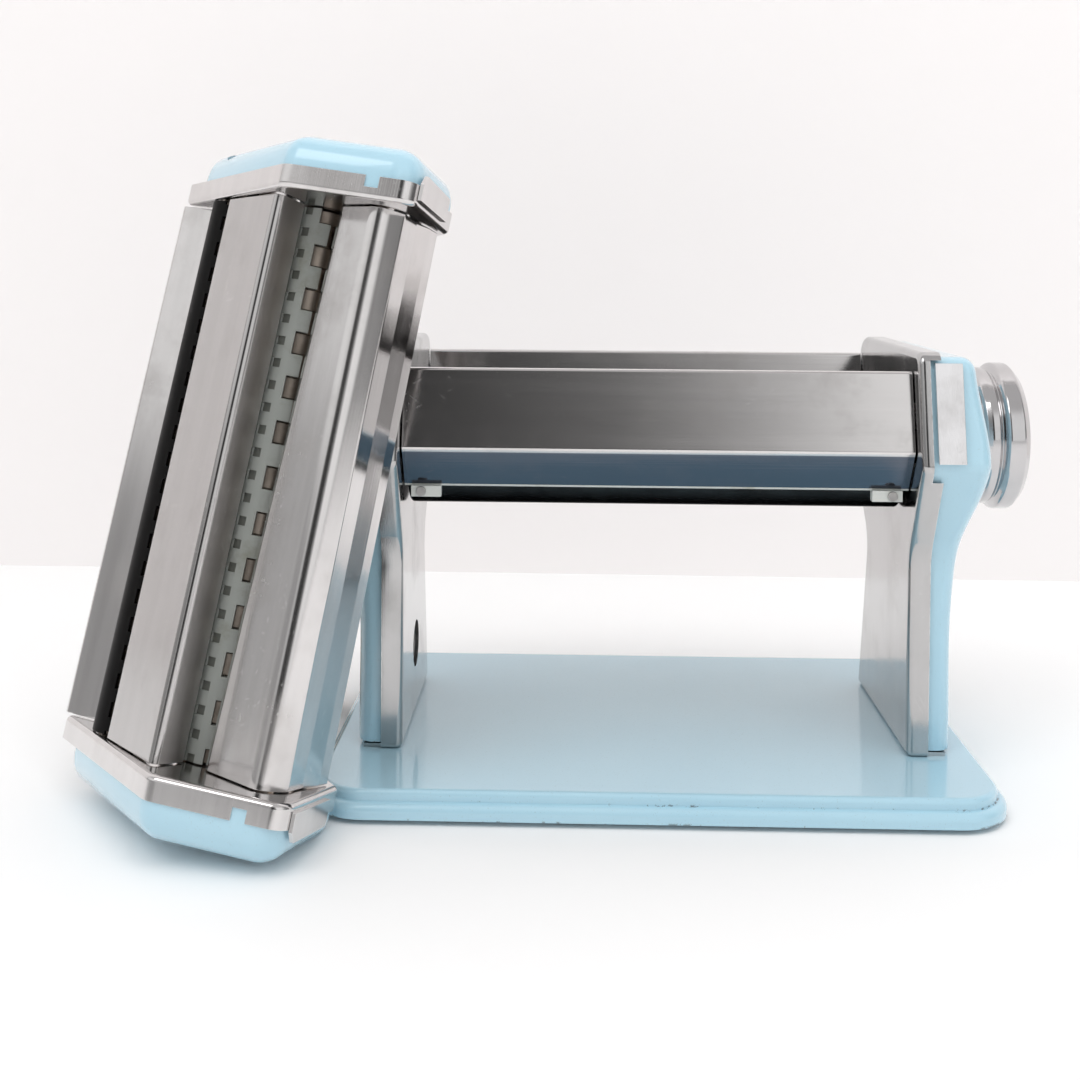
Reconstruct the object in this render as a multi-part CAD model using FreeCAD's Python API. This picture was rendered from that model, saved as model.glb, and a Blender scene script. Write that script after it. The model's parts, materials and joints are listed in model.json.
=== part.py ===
import FreeCAD, Part
import os
from math import acos, atan2, cos, degrees, hypot, pi, radians, sin, sqrt, tan

# Roller machine for dough sheets with a detached double cutter head and its crank.
# Millimetres. The origin is the middle of the underside of the base, +X runs along the
# rollers towards the thickness knob, +Y goes to the rear and +Z is up.

Vec = FreeCAD.Vector

# ---- clearances -------------------------------------------------------------------------
running = 0.05            # radial play of a shaft in its bush
snug = 0.02               # radial play of a piece pressed on or into another
gap = 0.3                 # between neighbours that don't touch
slide_play = 0.15         # each side of a guided block or pin

# ---- base -------------------------------------------------------------------------------
base_length = 200.0
base_depth = 136.4
base_corner = 17.0
base_top = 9.0            # height of the flat top
base_step = 2.6           # the rim stands out from the flat top by this
rim_top = 5.8
rim_bottom = 1.5
base_wall = 1.5
pad_thickness = 3.0
pad_inset = 3.5
pad_boss = 11.0

# ---- side plates ------------------------------------------------------------------------
inner_width = 152.0       # between the two side plates
half = inner_width / 2
axis_height = 99.3        # of both rollers
plate = 1.2
flange = 6.5
bend = 2.0
leg_front = -34.5
leg_rear = 37.0
knee_height = axis_height - 29.3   # where the leg turns forwards into the head
nose_front = -49.5
nose_height = axis_height - 1.3
head_front = -42.5
head_rear = 37.0
head_top = axis_height + 32.2
nose_rear = 56.0
nose_rear_height = axis_height - 3.3
waist_rear = 24.0
waist_height = axis_height - 36.3
rail_flange = 3.3         # width of the flange beside the attachment rail
rail_low = axis_height - 5.3
rail_high = head_top - 2.7
foot_width = 12.0
screw_radius = 2.0
screw_head = 4.0
screw_head_height = 2.2
screw_inset = 4.6         # from the edge of a foot

# ---- casings ----------------------------------------------------------------------------
casing_wall = 2.0
casing_round = 4.5
casing_leg = half + 13.8      # outer face at the leg, from the middle of the machine
casing_head = casing_leg + 7.4
casing_shoulder = casing_leg + 3.4
casing_crown = casing_leg + 4.2
casing_flare_low = axis_height - 37.3
casing_flare_high = axis_height - 20.3
casing_foot = 1.6             # above the base

# ---- rollers ----------------------------------------------------------------------------
roller_radius = 17.5
roller_length = 150.0
roller_wall = 3.0
roller_hub = 5.0
nip_closed = 0.4
nip_travel = 4.4
journal = 5.0
drive_journal = 6.5
socket_radius = 4.1
socket_depth = 14.0
socket_slot = 2.6
socket_slot_depth = 4.0
gear_teeth = 12
gear_width = 6.0
gear_inner = 81.0         # inner face of the roller gears, from the middle

# ---- covers and scrapers ------------------------------------------------------------------
sheet = 0.8
cover_top = axis_height + 28.7
cover_bend = axis_height + 2.5
cover_low = axis_height - 9.3
guide_low = axis_height + 15.7
cover_fold = (-42.2, 50.0)     # Y of the fold of the front and of the rear cover
scraper = 1.1
scraper_block = 9.0
tie_radius = 2.5

# ---- thickness knob -----------------------------------------------------------------------
adjust_angle = 90.0
pin_radius = 3.0
shaft_radius = 5.0
knob_start = casing_head + 3.0
knob_length = 22.4
knob_radius = 24.5
knob_ring = 21.6          # radius of the ring next to the casing
knob_hump = 22.9          # radius of the rounded band between the two grooves
knob_pull = 4.0
knob_cavity = 9.5
knob_floor = 6.0           # thickness of the neck that turns on the shaft
spring_wire = 0.6
spring_turns = 4

# ---- clamp hole ---------------------------------------------------------------------------
clamp_radius = 7.5
clamp_height = 31.5
clamp_depth = casing_leg - half + 0.6
clamp_wall = 1.6

# ---- attachment rails -----------------------------------------------------------------------
rail_start = 80.5
rail_width = 8.0
rail_thickness = 2.0

# ---- crank ----------------------------------------------------------------------------------
crank_throw = 110.0
crank_shaft_radius = 4.0
crank_shaft_length = 46.0
crank_shoulder = 5.6       # from the tip of the shaft to its cross pin
crank_bar = 4.0
crank_end = 9.0
crank_neck = 6.5
cross_pin = 1.2
cross_pin_reach = 5.6
grip_radius = 12.0
grip_length = 60.0
grip_pin_radius = 3.0
crank_spot = (-168.5, 134.0)

# ---- cutter head ------------------------------------------------------------------------------
# Its own frame: x towards the machine side, y towards the outlet, z along the cutters.
head_half = 79.3          # from the middle to the inner face of an end plate
head_plate = 1.0
head_bend = 1.6
head_casing = 13.5        # depth of an end casing, from the inner face of the end plate
head_round = 7.6
head_wall = 1.6
head_ridge = -41.4        # inlet side
head_peak = 5.8
head_right = 44.0
head_edge = (46.8, -6.7)       # foot of the machine side, which leans out
head_heel = (41.5, 0.5)        # outlet side, machine end
head_toe = (-47.2, 10.9)        # outlet side, far end
notch_at = 29.5
notch_width = 4.0
hook_width = 9.8
hook_length = 24.0
shaft_play_end = 0.2
cutter_journal = 3.0
bush_radius = 4.6
wide_pitch = 13.0
wide_radius = 7.6
wide_core = 6.2
wide_rings = 11
wide_left = (9.8, -10.9)
wide_slope = -16.9        # degrees, line from the left to the right wide cutter
narrow_pitch = 8.0
narrow_radius = 5.5
narrow_core = 4.2
narrow_rings = 17
narrow_left = (-21.8, -3.2)
narrow_slope = -35.0
core_play = 0.2           # between a ring and the core it runs over
ring_play = 0.35          # between neighbouring rings, along the cutters
wide_teeth = 12
narrow_teeth = 12
wide_gear_at = head_half + 5.5
wide_gear_width = 4.0
narrow_gear_at = head_half + 1.9
narrow_gear_width = 3.0
head_socket = 7.2
head_hub = 5.4
head_ties = ((36.0, -23.5), (37.5, -12.5), (-6.0, -1.2))
head_tie_radius = 2.0
head_place = (-120.7, -40.8, 93.32)
head_turn = (-8.84, 8.0, -12.73)   # yaw, pitch and roll in degrees

front_axis = -(roller_radius + nip_closed / 2)
rear_axis = -front_axis
knob_axis = rear_axis + nip_travel / 2


# ---- helpers: outlines in a plane ---------------------------------------------------------------
def unit(x, y):
    length = hypot(x, y)
    return x / length, y / length


def inset(points, d):
    """Closed counter-clockwise outline moved inwards by d, corner arcs on the same centres."""
    moved = []
    for i, (x, y, r) in enumerate(points):
        before = points[i - 1]
        after = points[(i + 1) % len(points)]
        ax, ay = unit(x - before[0], y - before[1])
        bx, by = unit(after[0] - x, after[1] - y)
        k = d / (1 + ax * bx + ay * by)
        radius = r - d if ax * by - ay * bx > 0 else r + d
        moved.append((x - k * (ay + by), y + k * (ax + bx), max(radius, 0)))
    return moved


def corner(before, point, after):
    """Start, middle and end of the arc that rounds one corner, or the bare corner."""
    x, y, r = point
    ax, ay = unit(before[0] - x, before[1] - y)
    bx, by = unit(after[0] - x, after[1] - y)
    half_angle = acos(max(-1.0, min(1.0, ax * bx + ay * by))) / 2
    if r < 0.01 or half_angle > pi / 2 - 0.001:
        return None
    t = r / tan(half_angle)
    mx, my = unit(ax + bx, ay + by)
    to_centre = r / sin(half_angle)
    return ((x + ax * t, y + ay * t),
            (x + mx * (to_centre - r), y + my * (to_centre - r)),
            (x + bx * t, y + by * t))


def path_edges(points, closed):
    """Straight runs and tangent arcs through points of (x, y, corner radius)."""
    stops = []
    last = len(points) - 1
    for i, p in enumerate(points):
        inside = closed or 0 < i < last
        arc = corner(points[i - 1], p, points[(i + 1) % len(points)]) if inside else None
        stops.append(arc or ((p[0], p[1]), None, (p[0], p[1])))
    edges = []
    for i, (start, middle, end) in enumerate(stops):
        if middle:
            edges.append(Part.Arc(Vec(*start, 0), Vec(*middle, 0), Vec(*end, 0)).toShape())
        if closed or i < last:
            following = stops[(i + 1) % len(stops)][0]
            if hypot(following[0] - end[0], following[1] - end[1]) > 1e-6:
                edges.append(Part.makeLine(Vec(*end, 0), Vec(*following, 0)))
    return edges


def prism(points, low, high):
    """Solid over a closed outline, between two heights."""
    face = Part.Face(Part.Wire(path_edges(points, True)))
    face.translate(Vec(0, 0, low))
    return face.extrude(Vec(0, 0, high - low))


def bent_sheet(points, thickness, low, high):
    """Folded sheet: an open path with bend radii, thickened to its left side."""
    other = []
    last = len(points) - 1
    for i, (x, y, r) in enumerate(points):
        before = points[max(i - 1, 0)]
        after = points[min(i + 1, last)]
        here = points[i]
        ax, ay = unit(here[0] - before[0], here[1] - before[1]) if i else (None, None)
        bx, by = unit(after[0] - here[0], after[1] - here[1]) if i < last else (ax, ay)
        if i == 0:
            ax, ay = bx, by
        k = thickness / (1 + ax * bx + ay * by)
        side = r - thickness if ax * by - ay * bx > 0 else r + thickness
        other.append((x - k * (ay + by), y + k * (ax + bx), max(side, 0.02)))
    near = [(x, y, max(r, 0.02)) for x, y, r in points]
    edges = path_edges(near, False)
    back = path_edges(other, False)
    edges.append(Part.makeLine(Vec(*near[-1][:2], 0), Vec(*other[-1][:2], 0)))
    edges += back
    edges.append(Part.makeLine(Vec(*other[0][:2], 0), Vec(*near[0][:2], 0)))
    wire = Part.Wire(Part.__sortEdges__(edges))
    face = Part.Face(wire)
    face.translate(Vec(0, 0, low))
    return face.extrude(Vec(0, 0, high - low))


def rectangle(x0, y0, x1, y1, r=0.0):
    return [(x0, y0, r), (x1, y0, r), (x1, y1, r), (x0, y1, r)]


def block(x0, x1, y0, y1, z0, z1):
    return Part.makeBox(x1 - x0, y1 - y0, z1 - z0, Vec(x0, y0, z0))


def rod(radius, x, y, low, high):
    """Cylinder along z."""
    return Part.makeCylinder(radius, high - low, Vec(x, y, low), Vec(0, 0, 1))


def rod_x(radius, y, z, low, high):
    """Cylinder along the machine's X axis."""
    return Part.makeCylinder(radius, high - low, Vec(low, y, z), Vec(1, 0, 0))


def turned(profile, y, z):
    """Body turned about an axis along X; profile is a closed list of (x, radius)."""
    points = [Vec(x, y, z + r) for x, r in profile]
    face = Part.Face(Part.makePolygon(points + points[:1]))
    return face.revolve(Vec(0, y, z), Vec(1, 0, 0), 360)


def edges_at_height(shape, height):
    """Edges that lie in the plane z = height."""
    return [e for e in shape.Edges
            if abs(e.BoundBox.ZMin - height) < 1e-4 and abs(e.BoundBox.ZMax - height) < 1e-4]


def place(shape, matrix):
    moved = shape.copy()
    moved.Placement = FreeCAD.Placement(matrix)
    return moved


def upright(shape):
    """From the outline plane to the machine: x to Y, y to Z, depth to X."""
    return place(shape, FreeCAD.Matrix(0, 0, 1, 0, 1, 0, 0, 0, 0, 1, 0, 0, 0, 0, 0, 1))


def left_of(shape):
    """Mirror image on the other side of the machine."""
    return shape.mirror(Vec(0, 0, 0), Vec(1, 0, 0))


def pan(outline, depth, thickness, radius):
    """Pressed plate with a flange all round: flat at z = 0, flange up to z = depth."""
    tray = prism(outline, 0, depth)
    tray = tray.makeFillet(radius, edges_at_height(tray, 0))
    inner = prism(inset(outline, thickness), thickness, depth + 1)
    inner = inner.makeFillet(radius - thickness + 0.2, edges_at_height(inner, thickness))
    return tray.cut(inner)


def gear(teeth, module, low, high, phase, addendum=1.0, dedendum=1.25, pressure=20.0,
         backlash=0.12):
    """Spur gear about z with involute flanks; phase turns it, in teeth."""
    pitch = teeth * module / 2
    base = pitch * cos(radians(pressure))
    tip = pitch + addendum * module
    root = pitch - dedendum * module
    roll = tan(radians(pressure)) - radians(pressure)
    thick = pi / (2 * teeth) - backlash / (2 * pitch)

    def flank(r):
        spread = acos(min(1.0, base / r))
        return thick + roll - (tan(spread) - spread)

    start = max(base, root)
    middle = (start + tip) / 2
    edges = []
    for i in range(teeth):
        at = 2 * pi * (i + phase) / teeth

        def spot(r, angle):
            return Vec(r * cos(at + angle), r * sin(at + angle), low)

        if root < base:
            edges.append(Part.makeLine(spot(root, -flank(start)), spot(start, -flank(start))))
        edges.append(Part.Arc(spot(start, -flank(start)), spot(middle, -flank(middle)),
                              spot(tip, -flank(tip))).toShape())
        edges.append(Part.makeLine(spot(tip, -flank(tip)), spot(tip, flank(tip))))
        edges.append(Part.Arc(spot(tip, flank(tip)), spot(middle, flank(middle)),
                              spot(start, flank(start))).toShape())
        if root < base:
            edges.append(Part.makeLine(spot(start, flank(start)), spot(root, flank(start))))
        valley = 2 * pi / teeth
        edges.append(Part.makeLine(spot(root if root < base else start, flank(start)),
                                   spot(root if root < base else start,
                                        valley - flank(start))))
    face = Part.Face(Part.Wire(edges))
    return face.extrude(Vec(0, 0, high - low))


# ---- machine ---------------------------------------------------------------------------------------
def plate_outline():
    """Side plate seen along X: leg, waist and head."""
    return [(leg_front, base_top, 1.5), (leg_rear, base_top, 1.5),
            (waist_rear, waist_height, 12.0), (nose_rear, nose_rear_height, 9.0),
            (head_rear, head_top, 9.0), (head_front, head_top, 4.0),
            (nose_front, nose_height, 4.0), (leg_front, knee_height, 20.0)]


def base_plate():
    def plan(half_length, half_depth, r):
        return rectangle(-half_length, -half_depth, half_length, half_depth, r)

    out_x = base_length / 2
    out_y = base_depth / 2
    rim = prism(plan(out_x, out_y, base_corner), rim_bottom, rim_top)
    rim = rim.makeFillet(2.4, edges_at_height(rim, rim_top))
    flat = prism(plan(out_x - base_step, out_y - base_step, base_corner - base_step),
                 rim_bottom, base_top)
    flat = flat.makeFillet(1.6, edges_at_height(flat, base_top))
    tray = rim.fuse(flat)
    hollow = prism(plan(out_x - base_step - base_wall, out_y - base_step - base_wall,
                        base_corner - base_step - base_wall), rim_bottom - 1,
                   base_top - base_wall)
    tray = tray.cut(hollow)
    for x, y in leg_screw_places():
        tray = tray.cut(rod(screw_radius + 0.2, x, y, 0, base_top + 1))
    return tray.removeSplitter()


def leg_screw_places():
    x = half + foot_width - screw_inset
    return [(side * x, y) for side in (-1, 1) for y in (leg_front + 12, leg_rear - 12)]


def base_pad():
    x = base_length / 2 - pad_inset - base_step
    y = base_depth / 2 - pad_inset - base_step
    pad = prism(rectangle(-x, -y, x, y, base_corner - pad_inset), 0, pad_thickness)
    for side in (-1, 1):
        for end in (-1, 1):
            pad = pad.fuse(rod(pad_boss, side * (x - pad_boss - 2), end * (y - pad_boss - 2),
                               0, base_top - base_wall))
    return pad.removeSplitter()


def leg_screws():
    screws = []
    for x, y in leg_screw_places():
        head_top_z = base_top - base_wall
        head = rod(screw_head, x, y, head_top_z - screw_head_height, head_top_z)
        shank = rod(screw_radius, x, y, head_top_z, base_top + plate + 2)
        nut = prism(hexagon(x, y, 3.5), base_top + plate, base_top + plate + 2.4)
        nut = nut.cut(rod(screw_radius, x, y, base_top, base_top + 6))
        screws += [head.fuse(shank).fuse(nut)]
    return Part.makeCompound(screws)


def hexagon(x, y, across_half):
    r = across_half / cos(pi / 6)
    return [(x + r * cos(k * pi / 3), y + r * sin(k * pi / 3), 0) for k in range(6)]


def block_window():
    """Opening in a side plate where a bearing block of the rear roller slides."""
    return (rear_axis - block_half - slide_play, axis_height - block_half - slide_play,
            rear_axis + block_half + nip_travel + slide_play,
            axis_height + block_half + slide_play)


block_half = 9.0
block_lip = 3.0
bush_wall = 2.5


def side_plate(drive_side):
    """Pressed plate of one side, modelled at +X."""
    shell = pan(plate_outline(), flange, plate, bend)
    foot = block(leg_front + 1.5, leg_rear - 1.5, base_top, base_top + plate,
                 flange - 0.5, foot_width)
    shell = shell.fuse(foot)
    # the flange narrows beside the attachment rail
    shell = shell.cut(block(nose_front - 2, head_front + 6, rail_low, rail_high + 0.5,
                            rail_flange, flange + 1))
    bore = (drive_journal if drive_side else journal) + bush_wall + gap / 10
    shell = shell.cut(rod(bore, front_axis, axis_height, -1, plate + 1))
    y0, z0, y1, z1 = block_window()
    shell = shell.cut(block(y0, y1, z0, z1, -1, plate + 1))
    for y, z in tie_places():
        shell = shell.cut(rod(tie_radius * 0.7 + snug, y, z, -1, plate + 1))
    for x, y in leg_screw_places():
        if x > 0:
            shell = shell.cut(block(y - 2.2, y + 2.2, base_top - 1, base_top + plate + 0.01,
                                    x - half - 2.2, x - half + 2.2))
    if drive_side:
        shell = shell.cut(rod(clamp_radius, 0, clamp_height, -1, plate + 1))
    moved = upright(shell.removeSplitter())
    moved.translate(Vec(half, 0, 0))
    return left_of(moved) if drive_side else moved


def tie_places():
    """Bars inside the fold of each cover: (Y, Z)."""
    front_y = cover_fold[0] + tie_radius + 4.2
    rear_y = cover_fold[1] - tie_radius - 5.4
    return ((front_y, cover_bend + 8.8), (rear_y, cover_bend + 5.2))


def casing_front(shrink):
    """Face between a side plate and the swelling outer wall, as (X, Z)."""
    inner = half + plate + gap
    low = base_top + casing_foot - shrink
    high = head_top + 1
    swell = [(casing_leg, low), (casing_leg, 0.3 * axis_height),
             (casing_leg + 0.1, 0.5 * axis_height), (casing_leg + 0.9, casing_flare_low), (casing_shoulder, casing_flare_high),
             (casing_head - 0.8, axis_height - 8), (casing_head, axis_height + 1),
             (casing_head - 0.9, axis_height + 10), (casing_crown + 0.6, axis_height + 20),
             (casing_crown, high)]
    wall = Part.BSplineCurve()
    wall.interpolate([Vec(x - shrink, z, 0) for x, z in swell])
    corners = [Vec(casing_crown - shrink, high, 0), Vec(inner, high, 0), Vec(inner, low, 0),
               Vec(casing_leg - shrink, low, 0)]
    lines = [Part.makeLine(a, b) for a, b in zip(corners, corners[1:])]
    return Part.Face(Part.Wire([wall.toShape()] + lines))


def casing_outline(shrink):
    """Side outline of a casing: inside the flange, and open at the foot."""
    leg = [(leg_front, 0, 0), (leg_rear, 0, 0)]
    head = [(y, z, max(r, casing_round + plate + gap + 1)) for y, z, r in plate_outline()[2:]]
    return inset(leg + head, plate + gap + shrink)


def casing_body(shrink, round_edges):
    """Common part of the side outline and the front outline of a casing."""
    side = upright(prism(casing_outline(shrink), half + plate + gap, casing_head + 5))
    front = casing_front(shrink)
    front.translate(Vec(0, 0, -nose_rear - 10))
    front = front.extrude(Vec(0, 0, 2 * nose_rear + 20))
    turn = FreeCAD.Matrix(1, 0, 0, 0, 0, 0, -1, 0, 0, 1, 0, 0, 0, 0, 0, 1)
    body = side.common(place(front, turn))
    if round_edges:
        inner = half + plate + gap
        foot = base_top + casing_foot + 1
        outer = [e for e in body.Edges if e.BoundBox.XMin > inner + 4 and
                 e.BoundBox.ZMax > foot]
        body = body.makeFillet(casing_round, outer)
    return body


def casing(drive_side):
    shell = casing_body(0, True).cut(casing_body(casing_wall, False))
    if drive_side:
        hole = rod_x(drive_journal + 1.2, front_axis, axis_height, half, casing_head + 5)
        hole = hole.fuse(rod_x(clamp_radius + clamp_wall + gap / 2, 0, clamp_height, half,
                               casing_head + 5))
    else:
        hole = rod_x(shaft_radius + bush_wall + snug, knob_axis, axis_height, half,
                     casing_head + 5)
    shell = shell.cut(hole)
    return left_of(shell) if drive_side else shell


def rail(drive_side):
    """Flat guide on the nose of a side, for the hooks of the cutter head."""
    proud = rail_thickness - plate
    ring = prism(inset(plate_outline(), -proud), rail_start - half,
                 rail_start - half + rail_width)
    ring = ring.cut(prism(inset(plate_outline(), plate), 0, 60))
    strip = ring.common(block(nose_front - 5, head_front + 6, nose_height + 1.8, rail_high - 0.3,
                              0, 60))
    moved = upright(strip)
    moved.translate(Vec(half, 0, 0))
    return left_of(moved) if drive_side else moved


def cover_points(side):
    """Fold line of a cover; side is -1 for the front and 1 for the rear."""
    if side < 0:
        fold = cover_fold[0]
        top, low, guide = fold + 6.2, fold + 6.6, fold + 11.7
    else:
        fold = cover_fold[1]
        top, low, guide = fold - 13.0, fold - 7.0, fold - 15.5
    return [(guide, guide_low, 0), (top, cover_top, 1.2), (fold, cover_bend, 1.4),
            (low, cover_low, 0)]


def cover(side):
    points = cover_points(side)
    if side > 0:
        points = points[::-1]
    folded = bent_sheet(points, sheet, -half + gap, half - gap)
    return upright(folded)


def scraper_axis(side):
    """Roller axis that a scraper stands clear of; the rear one in its farthest place."""
    return front_axis if side < 0 else rear_axis + nip_travel


def scraper_bar(side):
    """Plastic scraper inside the lower strip of a cover, with its two end blocks."""
    axis = scraper_axis(side)
    foot = (axis + side * 15.2, axis_height - 9.5)
    up_y, up_z = unit(side * 0.488, 0.873)
    out_y, out_z = side * up_z, -side * up_y
    top = (foot[0] + 10 * up_y, foot[1] + 10 * up_z)
    points = [(foot[0], foot[1], 0), (top[0], top[1], 0.3),
              (top[0] + scraper * out_y, top[1] + scraper * out_z, 0.3),
              (foot[0] + scraper * out_y, foot[1] + scraper * out_z, 0.3)]
    strip = prism(points if side < 0 else points[::-1], -half + gap, half - gap)
    near = axis + side * 15.2
    far = axis + side * 18.2
    for end in (-1, 1):
        x0 = end * (half - 2.5 - scraper_block)
        x1 = end * (half - 2.5)
        strip = strip.fuse(block(min(near, far), max(near, far), axis_height - 13.0,
                                 axis_height - 9.7, min(x0, x1), max(x0, x1)))
    return upright(strip.removeSplitter())


def scraper_screws():
    screws = []
    for side in (-1, 1):
        for end in (-1, 1):
            spot = Vec(end * (half - 5.5), scraper_axis(side) + side * 18.2, axis_height - 11.3)
            head = Part.makeCylinder(1.5, 0.9, spot, Vec(0, side, 0))
            screws.append(head)
    return Part.makeCompound(screws)


def tie_rods():
    rods = []
    for y, z in tie_places():
        bar = rod_x(tie_radius, y, z, -half, half)
        ends = [rod_x(tie_radius * 0.7, y, z, side, side + plate + 2)
                for side in (half - 0.5, -half - plate - 1.5)]
        nuts = [upright(prism(hexagon(y, z, 3.0), plate, plate + 2.0))]
        nuts[0].translate(Vec(half, 0, 0))
        nuts.append(left_of(nuts[0]))
        rods.append(bar.fuse(ends + nuts).removeSplitter())
    return Part.makeCompound(rods)


def front_bushes():
    bushes = []
    for side, radius in ((-1, drive_journal), (1, journal)):
        outer = radius + bush_wall
        bush = turned([(half - 0.7, radius + running), (half - 0.7, outer),
                       (half + plate + 0.05, outer), (half + plate + 0.05, outer + 2.2),
                       (half + plate + 2.0, outer + 2.2), (half + plate + 2.0, radius + running)],
                      front_axis, axis_height)
        bushes.append(bush if side > 0 else left_of(bush))
    return Part.makeCompound(bushes)


def roller(y, left_end, left_radius, right_end):
    """Hollow smooth roller with stub journals; a socket is cut by the caller."""
    end = roller_length / 2
    solid = turned([(-end, 0), (-end, roller_radius - 0.6), (-end + 0.6, roller_radius),
                    (end - 0.6, roller_radius), (end, roller_radius - 0.6), (end, 0)],
                   y, axis_height)
    hollow = rod_x(roller_radius - roller_wall, y, axis_height, -end + roller_hub,
                   end - roller_hub)
    solid = solid.cut(hollow)
    left = rod_x(left_radius, y, axis_height, left_end, -end + 1)
    right = rod_x(journal, y, axis_height, end - 1, right_end)
    return solid.fuse([left, right]).removeSplitter()


def front_roller():
    tip = -(casing_head + 1.6)
    body = roller(front_axis, tip, drive_journal, half + plate + 3.5)
    body = body.cut(rod_x(socket_radius, front_axis, axis_height, tip - 1, tip + socket_depth))
    slot = block(tip - 1, tip + socket_slot_depth, front_axis - drive_journal - 1,
                 front_axis + drive_journal + 1, axis_height - socket_slot / 2,
                 axis_height + socket_slot / 2)
    return body.cut(slot)


def rear_roller():
    return roller(rear_axis, -(gear_inner + gear_width + 1.5), journal, half + block_depth)


block_depth = 4.4         # from the inner face of a plate to the outer face of a block
yoke_depth = 4.2
yoke_slot = 3.2


def roller_gear(y, bore, phase):
    module = 2 * roller_radius / gear_teeth
    wheel = gear(gear_teeth, module, gear_inner, gear_inner + gear_width, phase, 1.1, 1.35,
                 22.0, 0.3)
    wheel = wheel.cut(rod(bore + snug, 0, 0, gear_inner - 1, gear_inner + gear_width + 1))
    moved = upright(wheel)
    moved.translate(Vec(0, y, axis_height))
    return left_of(moved)


def bearing_block(drive_side):
    """Block that carries one end of the rear roller and slides in the plate's window."""
    inner = block(rear_axis - block_half, rear_axis + block_half, axis_height - block_half,
                  axis_height + block_half, -0.7, plate + 0.2)
    lip = block_half + block_lip
    outer = block(rear_axis - lip, rear_axis + lip, axis_height - lip, axis_height + lip,
                  plate + 0.1, block_depth)
    body = inner.fuse(outer)
    if drive_side:
        body = body.cut(rod(journal + running, rear_axis, axis_height, -2, 12))
    else:
        yoke = block(rear_axis - lip, rear_axis + lip, axis_height - lip, axis_height + lip,
                     block_depth, block_depth + yoke_depth + 1)
        body = body.fuse(yoke)
        body = body.cut(rod(journal + running, rear_axis, axis_height, -2, block_depth + 0.5))
        swing = nip_travel / 2 / sin(radians(adjust_angle / 2))
        rise = nip_travel / 2 / tan(radians(adjust_angle / 2))
        slot_half = pin_radius + slide_play
        body = body.cut(block(rear_axis - slot_half, rear_axis + slot_half,
                              axis_height + rise - slot_half - 0.3,
                              axis_height + swing + slot_half + 0.3,
                              block_depth + 1.2, block_depth + yoke_depth + 2))
    moved = upright(body.removeSplitter())
    moved.translate(Vec(half, 0, 0))
    return left_of(moved) if drive_side else moved


def adjuster_shaft():
    """Shaft of the knob, with an eccentric pin in the slot of the right bearing block."""
    start = half + block_depth + yoke_depth + 1 + gap
    swing = nip_travel / 2 / sin(radians(adjust_angle / 2))
    rise = nip_travel / 2 / tan(radians(adjust_angle / 2))
    crank_disc = rod_x(swing + pin_radius + 1.5, knob_axis, axis_height, start, start + 2.6)
    pin = rod_x(pin_radius, knob_axis - nip_travel / 2, axis_height + rise,
                start - yoke_slot - gap, start + 0.5)
    shaft = rod_x(shaft_radius, knob_axis, axis_height, start + 2, knob_start + knob_length - 4.0)
    return shaft.fuse([crank_disc, pin]).removeSplitter()


def adjuster_bush():
    """Bush in the wall of the right casing, with its collar outside."""
    outer = shaft_radius + bush_wall
    inner_end = casing_head - casing_wall - 2.5
    collar = casing_head + gap
    return turned([(inner_end, shaft_radius + running), (inner_end, outer), (collar, outer),
                   (collar, outer + 1.8), (collar + 1.2, outer + 1.8),
                   (collar + 1.2, shaft_radius + running)], knob_axis, axis_height)


def knob():
    """Turned knob: a ring, a rounded band between two grooves, a wide rim and a dished face."""
    x = knob_start
    bore = shaft_radius + running
    profile = [(x, bore), (x, knob_ring - 2.4), (x + 1.0, knob_ring - 0.8),
               (x + 3.4, knob_ring), (x + 6.4, knob_ring), (x + 7.4, knob_ring - 0.9),
               (x + 8.6, knob_hump - 0.6), (x + 10.4, knob_hump), (x + 12.4, knob_hump - 0.1),
               (x + 13.6, knob_hump - 0.9), (x + 14.8, knob_radius - 0.4),
               (x + 15.4, knob_radius), (x + 19.6, knob_radius), (x + 20.2, knob_radius - 0.3),
               (x + knob_length, knob_radius - 2.9), (x + knob_length, knob_radius - 4.6),
               (x + knob_length - 1.4, knob_radius - 7.5),
               (x + knob_length - 1.8, knob_cavity), (x + knob_floor, knob_cavity),
               (x + knob_floor, bore)]
    return turned(profile, knob_axis, axis_height)


def knob_cap():
    end = knob_start + knob_length
    return turned([(end - 2.6, 0), (end - 2.6, knob_cavity - snug),
                   (end - 1.6, knob_cavity - snug), (end - 0.9, knob_cavity - 2.0),
                   (end - 0.5, knob_cavity - 5.5), (end - 0.4, 0)], knob_axis, axis_height)


def knob_nut():
    end = knob_start + knob_length - 4.0
    nut = upright(prism(hexagon(knob_axis, axis_height, 7.4), end - 1.0, end + 1.0))
    thread = rod_x(shaft_radius + snug, knob_axis, axis_height, end - 3, end + 0.001)
    return nut.cut(thread)


def knob_spring():
    """Coil spring round the shaft, drawn as far pressed as when the knob is pulled out."""
    low = knob_start + knob_floor + knob_pull + 0.2
    high = knob_start + knob_length - 5.1 - 2 * spring_wire
    radius = shaft_radius + 2.0
    helix = Part.makeHelix((high - low) / spring_turns, high - low, radius)
    wire = [Vec(radius, 0, 0), Vec(radius + 2 * spring_wire, 0, 0),
            Vec(radius + 2 * spring_wire, 0, 2 * spring_wire), Vec(radius, 0, 2 * spring_wire)]
    section = Part.makePolygon(wire + wire[:1])
    coil = Part.Wire(helix).makePipeShell([section], True, True)
    moved = upright(coil)
    moved.translate(Vec(low, knob_axis, axis_height))
    return moved


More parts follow.
